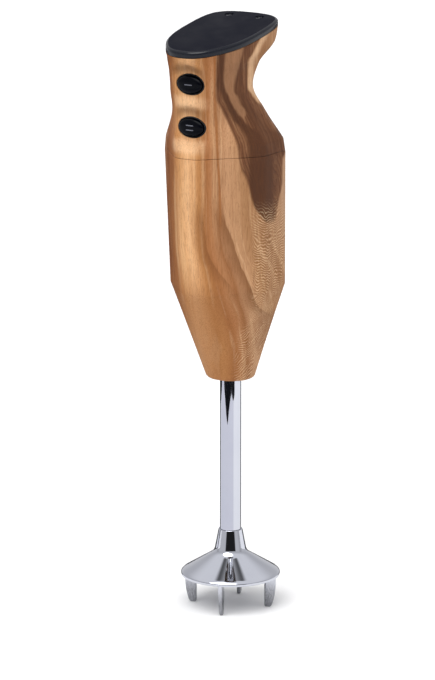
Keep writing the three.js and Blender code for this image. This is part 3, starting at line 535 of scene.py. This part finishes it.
class Wood(Finish):
    """Lacquered wood, laid down in layers. Its across is millimetres to the right of the drive axis,
    seen from VIEW_AZIMUTH, wandering a little so that no edge of the figure is ruled."""

    def __init__(self):
        super().__init__("wood_finish", specular_IOR_level=0.03, coat_weight=0.02, coat_roughness=0.3)
        turn = self.add("VectorRotate", {"Vector": self.place, "Axis": (0, 0, 1), "Angle": -VIEW_AZIMUTH},
                        rotation_type="AXIS_ANGLE")
        self.turn = turn.outputs["Vector"]
        self.height = self.part("Z", self.turn)
        wander = self.fibres((0.05, 0.03, 0.012), detail=3)
        ripple = self.fibres((0.3, 0.12, 0.035), detail=4, roughness=0.6)
        wandering = self.plus(self.part("X", self.turn), self.times(self.less(wander, 0.5), 3))
        self.across = self.plus(wandering, self.times(self.less(ripple, 0.5), 2.2))
        self.streaks()
        self.dark_lines()
        self.walnut_heart()
        self.painted_dish_light()
        self.fish_scales()
        self.grain_and_pores()

    def over(self, colour, share, tone):
        """A colour with a share of one of the tones laid over it."""
        return self.mix(share, colour, tan(*TONES[tone]))

    def paint(self, share, tone):
        self.colour = self.over(self.colour, share, tone)

    def flowing(self, across):
        """Coordinates that follow a streak or an edge instead of the body."""
        parts = {"X": across, "Y": self.part("Y", self.turn), "Z": self.height}
        return self.add("CombineXYZ", parts).outputs["Vector"]

    def fibres(self, stretch, flow=None, **settings):
        """Noise that is drawn out along the body, or along a flow."""
        return self.noise(self.stretched(stretch, flow or self.turn), **settings)

    def up(self, *span):
        """A share that goes with the height."""
        return self.span(self.height, *span)

    def past(self, line, low, high):
        """How far to the right of a line that runs up the body."""
        return self.less(self.across, self.curve(self.height, line, low, high))

    def streaks(self):
        """Tan streaks that drift sideways down the body, with darker rings and paler flares along them."""
        drift = self.curve(self.height, STREAK_DRIFT, 0, 20)
        streak = self.less(self.across, self.times(drift, self.span(self.across, -26, 8, 0.3, 1)))
        self.colour = self.ramp(self.share(streak, *STREAK_REACH),
                                [(at, tan(*tone)) for at, *tone in STREAK_TONES])
        flow = self.flowing(streak)
        rings = self.fibres((0.7, 0.1, 0.004), flow, detail=5, roughness=0.7)
        self.paint(self.span(rings, 0.5, 0.72, 0, 0.36), "ring")
        flares = self.fibres((0.34, 0.06, 0.004), flow, scale=1.3, detail=3)
        self.paint(self.span(flares, 0.5, 0.72, 0, 0.26), "flare")

    def dark_lines(self):
        """The two lines of the V; under them, painted shade low on the left where the body narrows and a
        darker foot; and a thread by the buttons.
        """
        for line, low, high, strength in ((RIGHT_V, -6, 36, 0.75), (LEFT_V, -18, 6, 0.5)):
            beyond, foot, top = self.past(line, low, high), line[0][0], line[-1][0]
            beside = self.times(self.span(beyond, -9, 0), self.span(beyond, 0.9, 0.1))
            ends = self.times(self.up(top, top - 16), self.up(foot, foot + 16))
            self.paint(self.times(beside, ends, strength), "v_line")
        # painted shade, low on the left where the body narrows towards the tube
        self.paint(self.times(self.up(212, 184), self.span(self.across, -2, -8), 0.62), "painted_taper_shade")
        foot = self.times(self.up(180, 172), self.up(146, 160), self.span(self.across, 8, 19))
        self.paint(self.times(foot, 0.6), "foot")
        thread = self.size(self.less(self.across, self.up(326, 231, -9, -6)))
        self.paint(self.times(self.span(thread, 1.2, 0.3, 0, 0.8), self.up(226, 240)), "thread")

    def walnut_heart(self):
        """The dark heart between two curved edges, with its core, a pale inlay and a pale strip beside it."""
        from_left, past_right = self.past(WALNUT_LEFT, -12, 24), self.past(WALNUT_RIGHT, 8, 34)
        to_right = self.times(past_right, -1)
        strip = self.times(self.span(past_right, -0.5, 1.2), self.span(past_right, 5, 2), self.up(268, 284))
        self.paint(self.times(strip, 0.6), "strip")

        figure = self.fibres((0.5, 0.12, 0.025), self.flowing(from_left), scale=1.6, detail=5, roughness=0.66,
                             distortion=0.4)
        walnut = self.ramp(figure, [(at, tan(*tone)) for at, *tone in WALNUT_TONES])
        lines = self.waves(self.plus(from_left, self.times(figure, 5)), WALNUT_LINE_PITCH)
        walnut = self.over(walnut, self.span(lines, 0, 1, 0, 0.4), "walnut_line")
        core, inlay = self.past(CORE, -6, 20), self.past(PALE_INLAY, -4, 12)
        off_core = self.less(self.size(core), self.curve(self.height, CORE_WIDTH, 0, 8))
        walnut = self.over(walnut, self.span(off_core, 1.8, -1, 0, 0.85), "core")
        past_inlay = self.times(self.span(inlay, 1, 3.5, 0, 0.72), self.span(to_right, 0.5, 7))
        walnut = self.over(walnut, past_inlay, "past_inlay")
        off_inlay = self.less(self.size(inlay), self.curve(self.height, PALE_INLAY_WIDTH, 0, 7))
        inlaid = self.times(self.span(off_inlay, 0.9, -0.9), self.up(285, 293), 0.75)
        walnut = self.over(walnut, inlaid, "inlay")

        heart = self.times(self.span(from_left, -0.7, 0.9), self.span(to_right, -0.6, 0.8), self.up(228, 234))
        self.colour = self.mix(heart, self.colour, walnut)

    def painted_dish_light(self):
        """Painted shade over each button and a painted highlight under it, in its dish on the front of the
        body.
        """
        facing = self.span(self.part("Y"), -36, -39)
        beside = self.size(self.math("DIVIDE", self.plus(self.part("X"), 2), DISH_HALF[0]))
        for button in BUTTONS:
            above = self.math("DIVIDE", self.less(self.height, button["z"]), DISH_HALF[1])
            bow = self.less(above, self.times(beside, beside, -0.35))
            # painted shade in the upper part of each dish and a painted highlight on its lower edge
            painted_brow_shade = self.span(self.size(self.less(bow, 0.74)), 0.42, 0)
            painted_rim_highlight = self.span(self.size(self.less(above, -0.85)), 0.42, 0.1)
            self.paint(self.times(painted_brow_shade, self.span(beside, 1.0, 0.35), facing, 0.52), "painted_brow_shade")
            self.paint(self.times(painted_rim_highlight, self.span(beside, 1.1, 0.5), facing, 0.3), "painted_rim_highlight")

    def fish_scales(self):
        """Fine light and dark arcs low on the right, bent round the fold and broken up in patches."""
        wobble = self.fibres((0.14, 0.14, 0.07), detail=2)
        from_fold = self.less(self.across, self.up(168, 200, -2, 22))
        bowl = self.times(from_fold, from_fold, 0.045)
        scales = self.waves(self.plus(self.less(self.height, bowl), self.times(wobble, 9)), SCALE_PITCH)
        patches = self.fibres((0.2, 0.2, 0.07), scale=1.7, detail=3)
        inside = self.less(self.across, self.up(150, 190, 2, 12))
        share = self.times(self.span(inside, -2, 4), self.up(246, 232), self.span(patches, 0.36, 0.6, 0.3, 1))
        self.paint(self.times(share, self.span(scales, 0, 1, 0, 0.5)), "scale_light")
        self.paint(self.times(share, self.span(scales, 0, -1, 0, 0.5)), "scale_dark")

    def grain_and_pores(self):
        """Fine upright grain and small dark pores, in the colour, the gloss and the surface."""
        grain = self.fibres((2.6, 2.6, 0.06), detail=3, roughness=0.7)
        self.paint(self.span(grain, 0.46, 0.66, 0, 0.35), "grain")
        pores = self.span(self.fibres((5.5, 5.5, 0.28), detail=1), 0.64, 0.74)
        self.paint(self.times(pores, 0.45), "pore")
        self.done(self.colour, self.span(grain, 0.3, 0.7, 0.38, 0.52),
                  self.less(self.times(grain, 0.35), pores), 0.16, 0.0002)


def moulded(name, colour, roughness, grain_size, relief, speck=0.12, gloss=0.5):
    """Moulded plastic or rubber: a fine even grain, faint colour variation and slightly uneven gloss."""
    look = Finish(name, specular_IOR_level=gloss)
    grain = look.noise(scale=1 / grain_size, detail=4, roughness=0.6)
    clouds = look.noise(scale=0.06, detail=3)
    mottle = look.plus(look.times(grain, 0.7), look.times(clouds, 0.3))
    dark, light = shade(colour, 1 - speck), shade(colour, 1 + speck)
    look.done(look.mix(look.span(mottle, 0.3, 0.7), dark, light),
              look.span(clouds, 0.3, 0.7, roughness * 0.88, roughness * 1.12), grain, relief)


def polished(name, colour, roughness, relief, brushing=(1, 1, 1), tarnish=0.06):
    """Metal with fine brushing or polishing marks and a faint uneven tarnish."""
    look = Finish(name, metallic=1.0)
    marks = look.noise(look.stretched(brushing), scale=3, detail=4, roughness=0.7)
    clouds = look.noise(scale=0.09, detail=4)
    dull = shade(colour, 1 - 3 * tarnish)
    uneven = look.plus(look.times(marks, 0.5), look.times(clouds, 0.5))
    look.done(look.mix(look.span(clouds, 0.35, 0.75, 0, 0.6), colour, dull),
              look.span(uneven, 0.3, 0.7, roughness * 0.7, roughness * 1.3),
              marks, relief, 0.00005)


def chrome():
    """Mirror polish, going over to a rougher, less polished finish down the guard's legs, with painted shade
    darkening them towards the tips.
    """
    look = Finish("chrome", metallic=1.0)
    clouds = look.noise(scale=0.09, detail=4)
    marks = look.noise(look.stretched((1, 1, 0.25)), scale=2.4, detail=4, roughness=0.7)
    mirror = look.mix(look.span(clouds, 0.35, 0.75), (0.57, 0.585, 0.645), (0.55, 0.565, 0.63))
    # painted shade: the legs' colour goes darker towards their tips, while their roughness rises
    shaded_satin = look.mix(look.span(marks, 0.35, 0.65), (0.16, 0.163, 0.18), (0.36, 0.365, 0.39))
    satin_and_shade_down_leg = look.span(look.part("Z"), 20, 6)
    roughness = look.plus(look.span(clouds, 0.3, 0.7, 0.02, 0.045), look.times(satin_and_shade_down_leg, 0.22))
    look.done(look.mix(satin_and_shade_down_leg, mirror, shaded_satin), roughness,
              look.times(marks, satin_and_shade_down_leg), 0.15, 0.00005)


def laminated(name, colour, pitch):
    """A stack of thin sheets: level lines at the sheets' pitch over dark steel."""
    look = Finish(name, metallic=0.85)
    lines = look.waves(look.part("Z"), pitch)
    rust = look.noise(scale=0.5, detail=4)
    base = look.mix(look.span(lines, -1, 1), shade(colour, 0.55), shade(colour, 1.15))
    look.done(look.mix(look.span(rust, 0.6, 0.75, 0, 0.35), base, srgb(96, 64, 44)),
              look.span(rust, 0.3, 0.7, 0.4, 0.6), lines, 0.4)


def wound(name, colour, pitch):
    """Enamelled wire laid in turns round the drive axis."""
    look = Finish(name, metallic=0.9)
    x, y = look.part("X"), look.part("Y")
    radius = look.math("SQRT", look.plus(look.times(x, x), look.times(y, y)))
    turns = look.waves(look.plus(look.part("Z"), radius), pitch)
    patches = look.noise(scale=0.4, detail=3)
    look.done(look.mix(look.span(turns, -1, 0.6), shade(colour, 0.45), shade(colour, 1.1)),
              look.span(patches, 0.3, 0.7, 0.25, 0.45), turns, 0.6)


def circuit_green(name):
    """Solder mask with paler tracks and small bright pads."""
    look = Finish(name)
    cells = look.add("TexVoronoi", {"Vector": look.place, "Scale": 0.22}, distance="MANHATTAN",
                     feature="DISTANCE_TO_EDGE").outputs["Distance"]
    pads = look.add("TexVoronoi", {"Vector": look.place, "Scale": 0.4}).outputs["Distance"]
    base = look.mix(look.span(cells, 0.02, 0.06, 0.6, 0), srgb(16, 78, 42), srgb(58, 132, 82))
    look.done(look.mix(look.span(pads, 0.2, 0.14), base, srgb(196, 196, 190)),
              look.span(cells, 0, 0.3, 0.25, 0.45), cells, 0.2)


Wood()
moulded("cap_black", (0.0045, 0.005, 0.0105), 0.45, 0.28, 0.35, gloss=0.025)
moulded("button_black", (0.001, 0.0013, 0.003), 0.2, 0.9, 0.02, gloss=0.07)
moulded("black_rubber", srgb(14, 14, 17), 0.62, 0.35, 0.3, gloss=0.2)
chrome()
polished("steel", (0.6, 0.6, 0.62), 0.28, 0.3, brushing=(1, 1, 6))
laminated("lamination", (0.3, 0.3, 0.32), 0.5)
wound("copper", (0.72, 0.32, 0.16), 0.6)
polished("bronze", (0.6, 0.42, 0.2), 0.4, 0.5, tarnish=0.1)
moulded("carbon", srgb(52, 52, 54), 0.6, 0.2, 0.4)
moulded("nylon", srgb(226, 222, 210), 0.45, 0.5, 0.15, speck=0.04)
circuit_green("board_green")
moulded("cap_edge", (0.003, 0.004, 0.009), 0.26, 0.5, 0.05, gloss=0.3)
moulded("seam_tan", srgb(176, 136, 98), 0.6, 0.35, 0.2, gloss=0.2)
moulded("bar_grey", (0.1, 0.105, 0.13), 0.4, 0.3, 0.1)


def dressed(piece, body, slot, *nodes, finish=None, sharp=35):
    """Gives a piece smooth shading with sharp edges, its finish, its body and the nodes it stands for."""
    piece.data.polygons.foreach_set("use_smooth", [True] * len(piece.data.polygons))
    piece.data.set_sharp_from_angle(angle=radians(sharp))
    piece.data.materials.clear()
    piece.data.materials.append(FINISHES[finish or slot])
    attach(piece, body)
    if nodes:
        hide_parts(*nodes)
    piece.visible_glossy = slot != "wood_finish"  # the chrome does not mirror the wood


# ---- Casings ----

EDGE_ROUND = 0.15
FINE_SEAM_GAP = 0.24  # the hairline that is seen between the housings
EDGE_ARC = [(EDGE_ROUND * (1 - cos(a)), EDGE_ROUND * (1 - sin(a)))
            for a in steps(0, pi / 2, 3)]


def rounded_end(z, outwards):
    """Rings that round the outer edge at an end of a casing, from its wall to its end face.
    outwards is 1 at a top end and -1 at a bottom end."""
    return [body_ring(z, inset, -outwards * drop) for inset, drop in EDGE_ARC]


def lower_housing():
    bottom = SECTIONS[0]["z"]
    top = SEAM_Z - FINE_SEAM_GAP / 2
    corner = 1.6
    base = [body_ring(bottom + corner * (1 - cos(a)), corner * (1 - sin(a)))
            for a in steps(0, pi / 2, 6)]
    walls = [body_ring(z) for z in [*steps(bottom + 4, SECTIONS[1]["z"], 30), *steps(196, top - 1, 24)]]
    inside = [body_ring(z, WALL) for z in (top, SECTIONS[1]["z"], bottom + FLOOR_THICKNESS)]

    def hole(z):
        angles = [math.atan2(point.y, point.x) for point in base[0]]
        return [Vector(((TUBE_R + GAP) * cos(a), (TUBE_R + GAP) * sin(a), z)) for a in angles]

    rings = [hole(bottom), *base, *walls, *rounded_end(top, 1), *inside, hole(bottom + FLOOR_THICKNESS)]
    piece = skinned("lower_housing_fine", rings, loop=True)
    dressed(piece, "housing", "wood_finish", "lower_housing")


def cap_plane_at(y):
    return CAP_PLANE_Z + math.tan(CAP_TILT) * y


def gland_place():
    """Moves a piece drawn about the drive axis, with its outer end up, to the gland's place."""
    tip = Matrix.Rotation(radians(-90 - GLAND["slope"]), 4, "X")
    return Matrix.Translation((0, GLAND["y"], GLAND["z"])) @ tip


def upper_housing():
    bottom = SEAM_Z + FINE_SEAM_GAP / 2
    outside = [body_ring(z) for z in steps(bottom + 1, CAP_PLANE_Z - 0.8, 96)]
    outside = with_dishes(outside)
    inside = with_dishes([body_ring(z, WALL) for z in steps(CAP_PLANE_Z, bottom, 40)], WALL)
    rings = [*reversed(rounded_end(bottom, -1)), *outside, *rounded_end(CAP_PLANE_Z, 1), *inside]
    piece = skinned("upper_housing_fine", rings, loop=True)
    for button in BUTTONS:
        half = grown(BUTTON_HALF, 2 * GAP + BUTTON_SEAL_WIDTH)
        rings = [oval(half, button["face"] + reach, button["z"]) for reach in (-8, 8)]
        combined(piece, skinned("button_opening", rings), "DIFFERENCE")
    for radius, low in ((GLAND["body"] + GAP, -8), (GLAND["flange"] + GAP, -GLAND["recess"])):
        seat = turned("gland_seat", [(0, low), (radius, low), (radius, 8), (0, 8)], 64)
        combined(piece, moved(seat, gland_place()), "DIFFERENCE")
    dressed(piece, "housing", "wood_finish", "upper_housing")


def cord_gland():
    flange, bore, body = GLAND["flange"], GLAND["bore"], GLAND["body"]
    step = GAP - GLAND["recess"]
    profile = filleted([(bore, -5, 0), (body, -5, 0.2), (body, step, 0), (flange, step, 0.2),
                        (flange, 1.4, 0.3), (flange - 0.8, 2.3, 0.4), (bore + 0.4, 2.6, 0.4),
                        (bore, 2.2, 0.3)])
    piece = moved(turned("cord_gland_fine", profile, 72), gland_place())
    dressed(piece, "housing", "black_rubber", "cord_gland")


def top_cap():
    bevel, recess_r, hole_r, hole_depth = 1.7, 2.5, 1.5, 9

    def ring(lift, inset):
        return body_ring(CAP_PLANE_Z, inset, lift)

    rings = [ring(-CAP_LIP, WALL + 2.6), ring(GAP, WALL + 1.2), ring(GAP, 0.25), ring(GAP + 0.1, 0.08),
             ring(GAP + 0.3, 0)]
    rings += [ring(CAP_THICKNESS - bevel + bevel * sin(a), bevel * (1 - cos(a)))
              for a in steps(0, pi / 2, 8)]
    piece = skinned("top_cap_fine", rings)
    for x, y in CAP_SCREWS:
        top = cap_plane_at(y) + CAP_THICKNESS
        for radius, low, high in ((recess_r, top - SCREW_RECESS_DEPTH, top + 2),
                                  (hole_r, top - hole_depth, top)):
            recess = turned("screw_recess", [(0, low), (radius, low), (radius, high), (0, high)], 48)
            combined(piece, moved(recess, Matrix.Translation((x, y, 0))), "DIFFERENCE")
    dressed(piece, "housing", "cap_black", "top_cap")
    piece.data.materials.append(FINISHES["cap_edge"])
    upward = Vector((0, -sin(CAP_TILT), cos(CAP_TILT)))
    for face in piece.data.polygons:
        face.material_index = 0 if face.normal.dot(upward) > 0.995 else 1


def cap_screw(number, x, y):
    shank_r, head_r, length, head_height = 1.2, 2.2, 8.4, 1.3
    slot_half, slot_floor, slot_top = (3, 0.35), 0.7, 2
    seat = cap_plane_at(y) + CAP_THICKNESS - SCREW_RECESS_DEPTH + GAP
    tip, top = seat - length, seat + head_height
    profile = filleted([(0, tip, 0), (shank_r, tip, 0.3), (shank_r, seat, 0), (head_r, seat, 0.2),
                        (head_r, top, 0.4), (0, top, 0)])
    piece = turned(f"cap_screw_{number}_fine", profile, 48)
    slot = skinned("slot", upright_box(*slot_half, seat + slot_floor, seat + slot_top))
    combined(piece, slot, "DIFFERENCE")
    moved(piece, Matrix.Translation((x, y, 0)))
    dressed(piece, "housing", "steel", f"cap_screw_{number}")


# ---- Buttons ----

def dome_height(x, z):
    """How far a button's dome stands over its edge, x and z measured from the button's middle."""
    spread = (x / BUTTON_HALF[0]) ** 2 + (z / BUTTON_HALF[1]) ** 2
    return BUTTON_DOME * math.sqrt(max(0.0, 1 - spread))


def button(place):
    name, face, z = place["name"], place["face"], place["z"]
    edge = face + BUTTON_EDGE_PROUD
    flange = [half + spread for half, spread in zip(BUTTON_HALF, BUTTON_FLANGE_SPREAD)]
    stem = (BUTTON_STEM_R, BUTTON_STEM_R)
    flange_front = face - WALL - BUTTON_FLANGE_SETBACK
    flange_rear = flange_front - BUTTON_FLANGE_THICKNESS
    rings = [oval(stem, flange_rear - BUTTON_STEM_LENGTH, z), oval(stem, flange_rear, z),
             oval(flange, flange_rear, z), oval(flange, flange_front, z), oval(BUTTON_HALF, flange_front, z)]
    for t in steps(0, pi / 2, 14)[:-1]:
        rings.append(oval([half * cos(t) for half in BUTTON_HALF], edge + BUTTON_DOME * sin(t), z))
    piece = skinned(f"button_{name}_fine", rings)
    dressed(piece, place["body"], "button_black", f"button_{name}", sharp=50)

    seal_out, seal_in = grown(BUTTON_HALF, GAP + BUTTON_SEAL_WIDTH), grown(BUTTON_HALF, GAP)
    rear, front = face - WALL + 0.2, face + 0.1
    mid = grown(BUTTON_HALF, GAP + BUTTON_SEAL_WIDTH / 2)
    rings = [oval(seal_in, rear, z), oval(seal_out, rear, z), oval(seal_out, front - 0.2, z),
             oval(mid, front + 0.1, z), oval(seal_in, front - 0.2, z)]
    seal = skinned(f"button_seal_{name}_fine", rings, loop=True)
    dressed(seal, "housing", "black_rubber", f"button_seal_{name}")

    half_length, half_height, corner, sunk, rise, pitch = 2.35, 0.3, 0.4, 0.3, 0.1, 2.6
    outline = filleted([(across * half_length, up * half_height, corner) for across, up in SQUARE])
    for k in range(place["bars"]):
        middle = (k - (place["bars"] - 1) / 2) * -pitch

        def ring(scale, lift):
            return [Vector((u * scale, -(edge + dome_height(u * scale, middle + v * scale) + lift),
                            z + middle + v * scale)) for u, v in outline]

        bar = skinned(f"button_{name}_bar_{k + 1}", [ring(1, -sunk), ring(1, rise / 2), ring(0.9, rise)])
        dressed(bar, place["body"], "nylon", finish="bar_grey")


# ---- Guard, tube and blade ----

def leg_ring(side):
    """One side of a leg, 1 or -1, before it is turned to its place."""
    inner_top, outer_top, half_flat, heel = 24.2, 20.2, 0.9, (LEG_TIP_R + 2.8, 2.4)
    outline = [Vector((LEG_INNER_R, inner_top)),
               *arc((LEG_INNER_R, 2 * half_flat), (LEG_INNER_R, 0), (LEG_TIP_R - half_flat, 0), 8),
               *arc((LEG_TIP_R + half_flat, 0), (LEG_TIP_R + 2.2, 0.2), heel, 8),
               *arc(heel, (LEG_OUTER_R, 8), (LEG_OUTER_R, 15), 8)[1:],
               Vector((LEG_OUTER_R, outer_top))]
    return [Vector((r, side * (LEG_TIP_THICKNESS + LEG_TAPER * z) / 2, z)) for r, z in outline]


def blade_guard():
    bore = TUBE_R + 0.2
    profile = filleted([
        (bore, COLLAR_TOP, 0), (COLLAR_R, COLLAR_TOP, 0.3), (NECK_R, NECK_BOTTOM + 0.2, 2.6),
        (RIM_R - 1.2, RIM_Z + 1.6, 0.8), (RIM_R, RIM_Z + 0.5, 0.6), (RIM_R, RIM_Z - 1.3, 0.9),
        (RIM_R - 1.8, RIM_Z - 1.1, 0.6), (NECK_R + 0.8, NECK_BOTTOM - 1.3 - BELL_WALL, 2),
        (bore, NECK_BOTTOM - 0.8, 0),
    ], 8)
    guard = turned("blade_guard_fine", profile, 160)
    for i in range(LEG_COUNT):
        leg = skinned("leg", [leg_ring(-1), leg_ring(1)])
        with_modifier(leg, "BEVEL", width=0.00045, segments=3, limit_method="ANGLE",
                      angle_limit=radians(50))
        turn = LEG_TURN + 2 * pi * i / LEG_COUNT - pi / 2
        combined(guard, moved(leg, Matrix.Rotation(turn, 4, "Z")), "UNION")
    dressed(guard, "housing", "chrome", "blade_guard")


def shaft_tube():
    profile = filleted([(TUBE_BORE_R, TUBE_BOTTOM, 0), (TUBE_R, TUBE_BOTTOM, 0.3), (TUBE_R, TUBE_TOP, 0.3),
                        (TUBE_BORE_R, TUBE_TOP, 0)])
    dressed(turned("shaft_tube_fine", profile), "housing", "chrome", "shaft_tube")


def wing_section(reach):
    """The blade's cross-section at a distance from the axis: broad and thick at the root, finer outwards."""
    share = (reach - BLADE_ROOT_R) / (BLADE_TIP_R - BLADE_ROOT_R)
    lead, trail = -4.1 + 2.4 * share ** 2, 3.2 - 1.5 * share ** 2
    middle, thickness = (lead + trail) / 2, 0.55 * (1 - 0.3 * share)
    section = [(lead, 0), (lead + 1.4, thickness), (middle, thickness), (trail - 0.4, thickness),
               (trail, 0), (trail - 0.4, -thickness), (middle, -thickness), (lead + 1.0, -thickness)]
    c, s = cos(BLADE_PITCH), sin(BLADE_PITCH)
    return [Vector((reach, u * c - w * s, u * s + w * c)) for u, w in section]


def blade():
    bore, hub_r, bottom, top, pin_room, wings_z = SHAFT_R + 0.1, 4.6, 12.2, 21.2, 0.15, 15.2
    profile = filleted([(bore, bottom, 0.2), (hub_r, bottom, 0.5), (hub_r, top, 0.5), (bore, top, 0.2)])
    hub = turned("blade_fine", profile, 64)
    slot = upright_box(PIN_LENGTH / 2 + 0.3, PIN_R + pin_room, PIN_Z - PIN_R - pin_room, top + 0.8)
    combined(hub, skinned("pin_slot", slot), "DIFFERENCE")
    for half_turn, dip in ((0, -6), (pi, 4)):
        wing = skinned("wing", [wing_section(reach) for reach in steps(BLADE_ROOT_R, BLADE_TIP_R, 16)])
        place = (Matrix.Rotation(half_turn, 4, "Z") @ Matrix.Translation((0, 0, wings_z))
                 @ Matrix.Rotation(radians(dip), 4, "Y"))
        combined(hub, moved(wing, place), "UNION")
    moved(hub, Matrix.Rotation(BLADE_TURN, 4, "Z"))
    dressed(hub, "blade", "steel", "blade", sharp=25)


lower_housing()
upper_housing()
cord_gland()
top_cap()
for number, (screw_x, screw_y) in enumerate(CAP_SCREWS, 1):
    cap_screw(number, screw_x, screw_y)
for place in BUTTONS:
    button(place)
blade_guard()
shaft_tube()
blade()

for subpart in frame["record"]["subparts"]:
    node = frame["nodes"][subpart["node"]]
    node.data.materials.clear()
    seen_in_seam = subpart["node"] == "housing_joint_ring"
    node.data.materials.append(FINISHES["seam_tan" if seen_in_seam else subpart["material_slot"]])


# ---- Stage, lights and camera ----

FLOOR_HALF = 8
CARD_LIFT = 0.0005  # keeps a card clear of the floor
SIGHT_FALL = 0.254  # how far the sight mirrored in the tube falls in a unit of distance
BOARD_TOP = 152  # the height on the tube up to which the board is mirrored
# (azimuth, height on the tube at which the board's foot is mirrored)
BOARD_ROWS = [(-124, 119), (-100, 122), (-86, 127), (-74, 136), (-43, 136), (-31, 127), (-21, 119),
              (-9, 111), (-2, 107.5), (6, 111), (14, 117), (24, 123), (34, 128), (44, 130), (76, 130)]
# (azimuth, elevation, half width, half height, softness, depth) of the surround's dark areas
DARK_AREAS = [(32, 5, 0.6, 0.2, 0.05, 0.97), (212, 71, 0.24, 0.14, 0.04, 0.85),
              (110, 10, 0.16, 0.2, 0.12, 0.25), (-70, 10, 0.16, 0.2, 0.12, 0.25)]


def direction(azimuth, elevation):
    """Towards an azimuth, in degrees from the button side towards +X, and an elevation."""
    a, e = radians(azimuth), radians(elevation)
    return Vector((sin(a) * cos(e), -cos(a) * cos(e), sin(e)))


def looking_from(towards):
    """The rotation of a camera or light that looks back from a direction."""
    return (-towards).to_track_quat("-Z", "Y").to_euler()


def stage_panel(name, corners, colour):
    """A flat matt panel that is not part of the object."""
    mesh = bpy.data.meshes.new(name)
    mesh.from_pydata(corners, [], [tuple(range(len(corners)))])
    panel = in_scene(name, mesh)
    finish = Finish(name, roughness=0.9, specular_IOR_level=0.0)
    fibres = finish.noise(scale=0.8, detail=3)
    finish.set("Base Color", finish.mix(fibres, shade(colour, 0.98), colour))
    mesh.materials.append(finish.material)
    return panel


def only_mirrored(panel):
    """Leaves a panel to be seen in polished metal alone."""
    panel.visible_camera = False
    panel.visible_shadow = False
    panel.visible_diffuse = False


def floor_card(name, from_azimuth, to_azimuth, near, far, grey):
    """A grey card that lies on the floor round the object, for its polished metal to mirror."""
    turns = [radians(a) for a in steps(from_azimuth, to_azimuth, 12)]
    corners = [(r * sin(a), AXIS_Y - r * cos(a), CARD_LIFT)
               for r, row in ((near, turns), (far, turns[::-1])) for a in row]
    only_mirrored(stage_panel(name, corners, (grey, grey, grey * 1.06)))


def low_board():
    """A low dark board that stands round the object on the floor, for the shaft tube to mirror.
    It is left open where both ends of a length would show behind the housing."""
    for start, end in zip(BOARD_ROWS, BOARD_ROWS[1:]):
        if min(start[1], end[1]) > SECTIONS[0]["z"]:
            continue
        feet, tops = [], []
        for azimuth, tube_height in (start, end):
            angle, distance = radians(azimuth), tube_height / SIGHT_FALL / 1000
            feet.append((distance * sin(angle), AXIS_Y - distance * cos(angle)))
            tops.append((BOARD_TOP - tube_height) / 1000)
        corners = [(*feet[0], 0), (*feet[1], 0), (*feet[1], tops[1]), (*feet[0], tops[0])]
        only_mirrored(stage_panel("board", corners, (0.012, 0.012, 0.014)))


def studio():
    """An even pale surround with a few dark areas, for the polished metal to mirror."""
    world = bpy.data.worlds.new("studio")
    nodes = Nodes(world)
    towards = nodes.add("TexCoord").outputs["Generated"]

    def along(axis):
        return nodes.add("VectorMath", {0: towards, 1: axis}, operation="DOT_PRODUCT").outputs["Value"]

    share = 1.0
    for azimuth, elevation, half_width, half_height, softness, depth in DARK_AREAS:
        ahead, right = direction(azimuth, elevation), direction(azimuth + 90, 0)
        inside = nodes.span(along(ahead), 0, 0.1)
        for axis, half in ((right, half_width), (right.cross(ahead), half_height)):
            edge = nodes.span(nodes.size(along(axis)), half + softness, half - softness)
            inside = nodes.times(inside, edge)
        share = nodes.times(share, nodes.less(1, nodes.times(inside, depth)))
    up = nodes.part("Z", towards)
    level = nodes.plus(nodes.span(up, 0.45, 0.8, 0, 0.3), nodes.span(up, 0.35, 0.2, 0.66, 0.72))
    background = nodes.tree.nodes["Background"]
    colour = nodes.mix(nodes.times(share, level), (0, 0, 0), (0.985, 0.985, 1.0))
    nodes.plug(background.inputs["Color"], colour)
    bpy.context.scene.world = world


def lamp(name, kind, towards, power):
    """A light that shines from a direction."""
    light = bpy.data.lights.new(name, kind)
    light.energy = power
    holder = in_scene(name, light)
    holder.rotation_euler = looking_from(towards)
    return holder


def soft_sun(name, azimuth, elevation, power, spread):
    """Broad light that falls evenly over the whole floor."""
    lamp(name, "SUN", direction(azimuth, elevation), power).data.angle = radians(spread)


def softbox(name, azimuth, elevation, distance, size, power, target=(0, 0.01, 0.2)):
    """A rectangular area light aimed at the body, kept out of mirror reflections."""
    towards = direction(azimuth, elevation)
    holder = lamp(name, "AREA", towards, power)
    holder.data.shape = "RECTANGLE"
    holder.data.size, holder.data.size_y = size
    holder.location = Vector(target) + distance * towards
    holder.visible_glossy = False


def camera():
    data = bpy.data.cameras.new("view")
    data.lens, data.sensor_width = 220.2, 36
    holder = in_scene("view", data)
    holder.location = (1.2237, -1.9477, 0.704)
    holder.rotation_euler = looking_from(direction(azimuth=32.185, elevation=13.326))
    bpy.context.scene.camera = holder


stage_panel("floor", [(x * FLOOR_HALF, y * FLOOR_HALF, 0) for x, y in SQUARE], (0.86, 0.86, 0.86))
floor_card("card_behind", 164, 260, near=0.09, far=3, grey=0.09)
floor_card("card_left", -96, 64, near=0.15, far=0.75, grey=0.68)
low_board()
studio()
soft_sun("overhead", 8, 56, power=2.25, spread=50)
softbox("side", 100, 30, distance=1.6, size=(0.8, 1.2), power=4)
bpy.context.scene.view_settings.view_transform = "Standard"
camera()
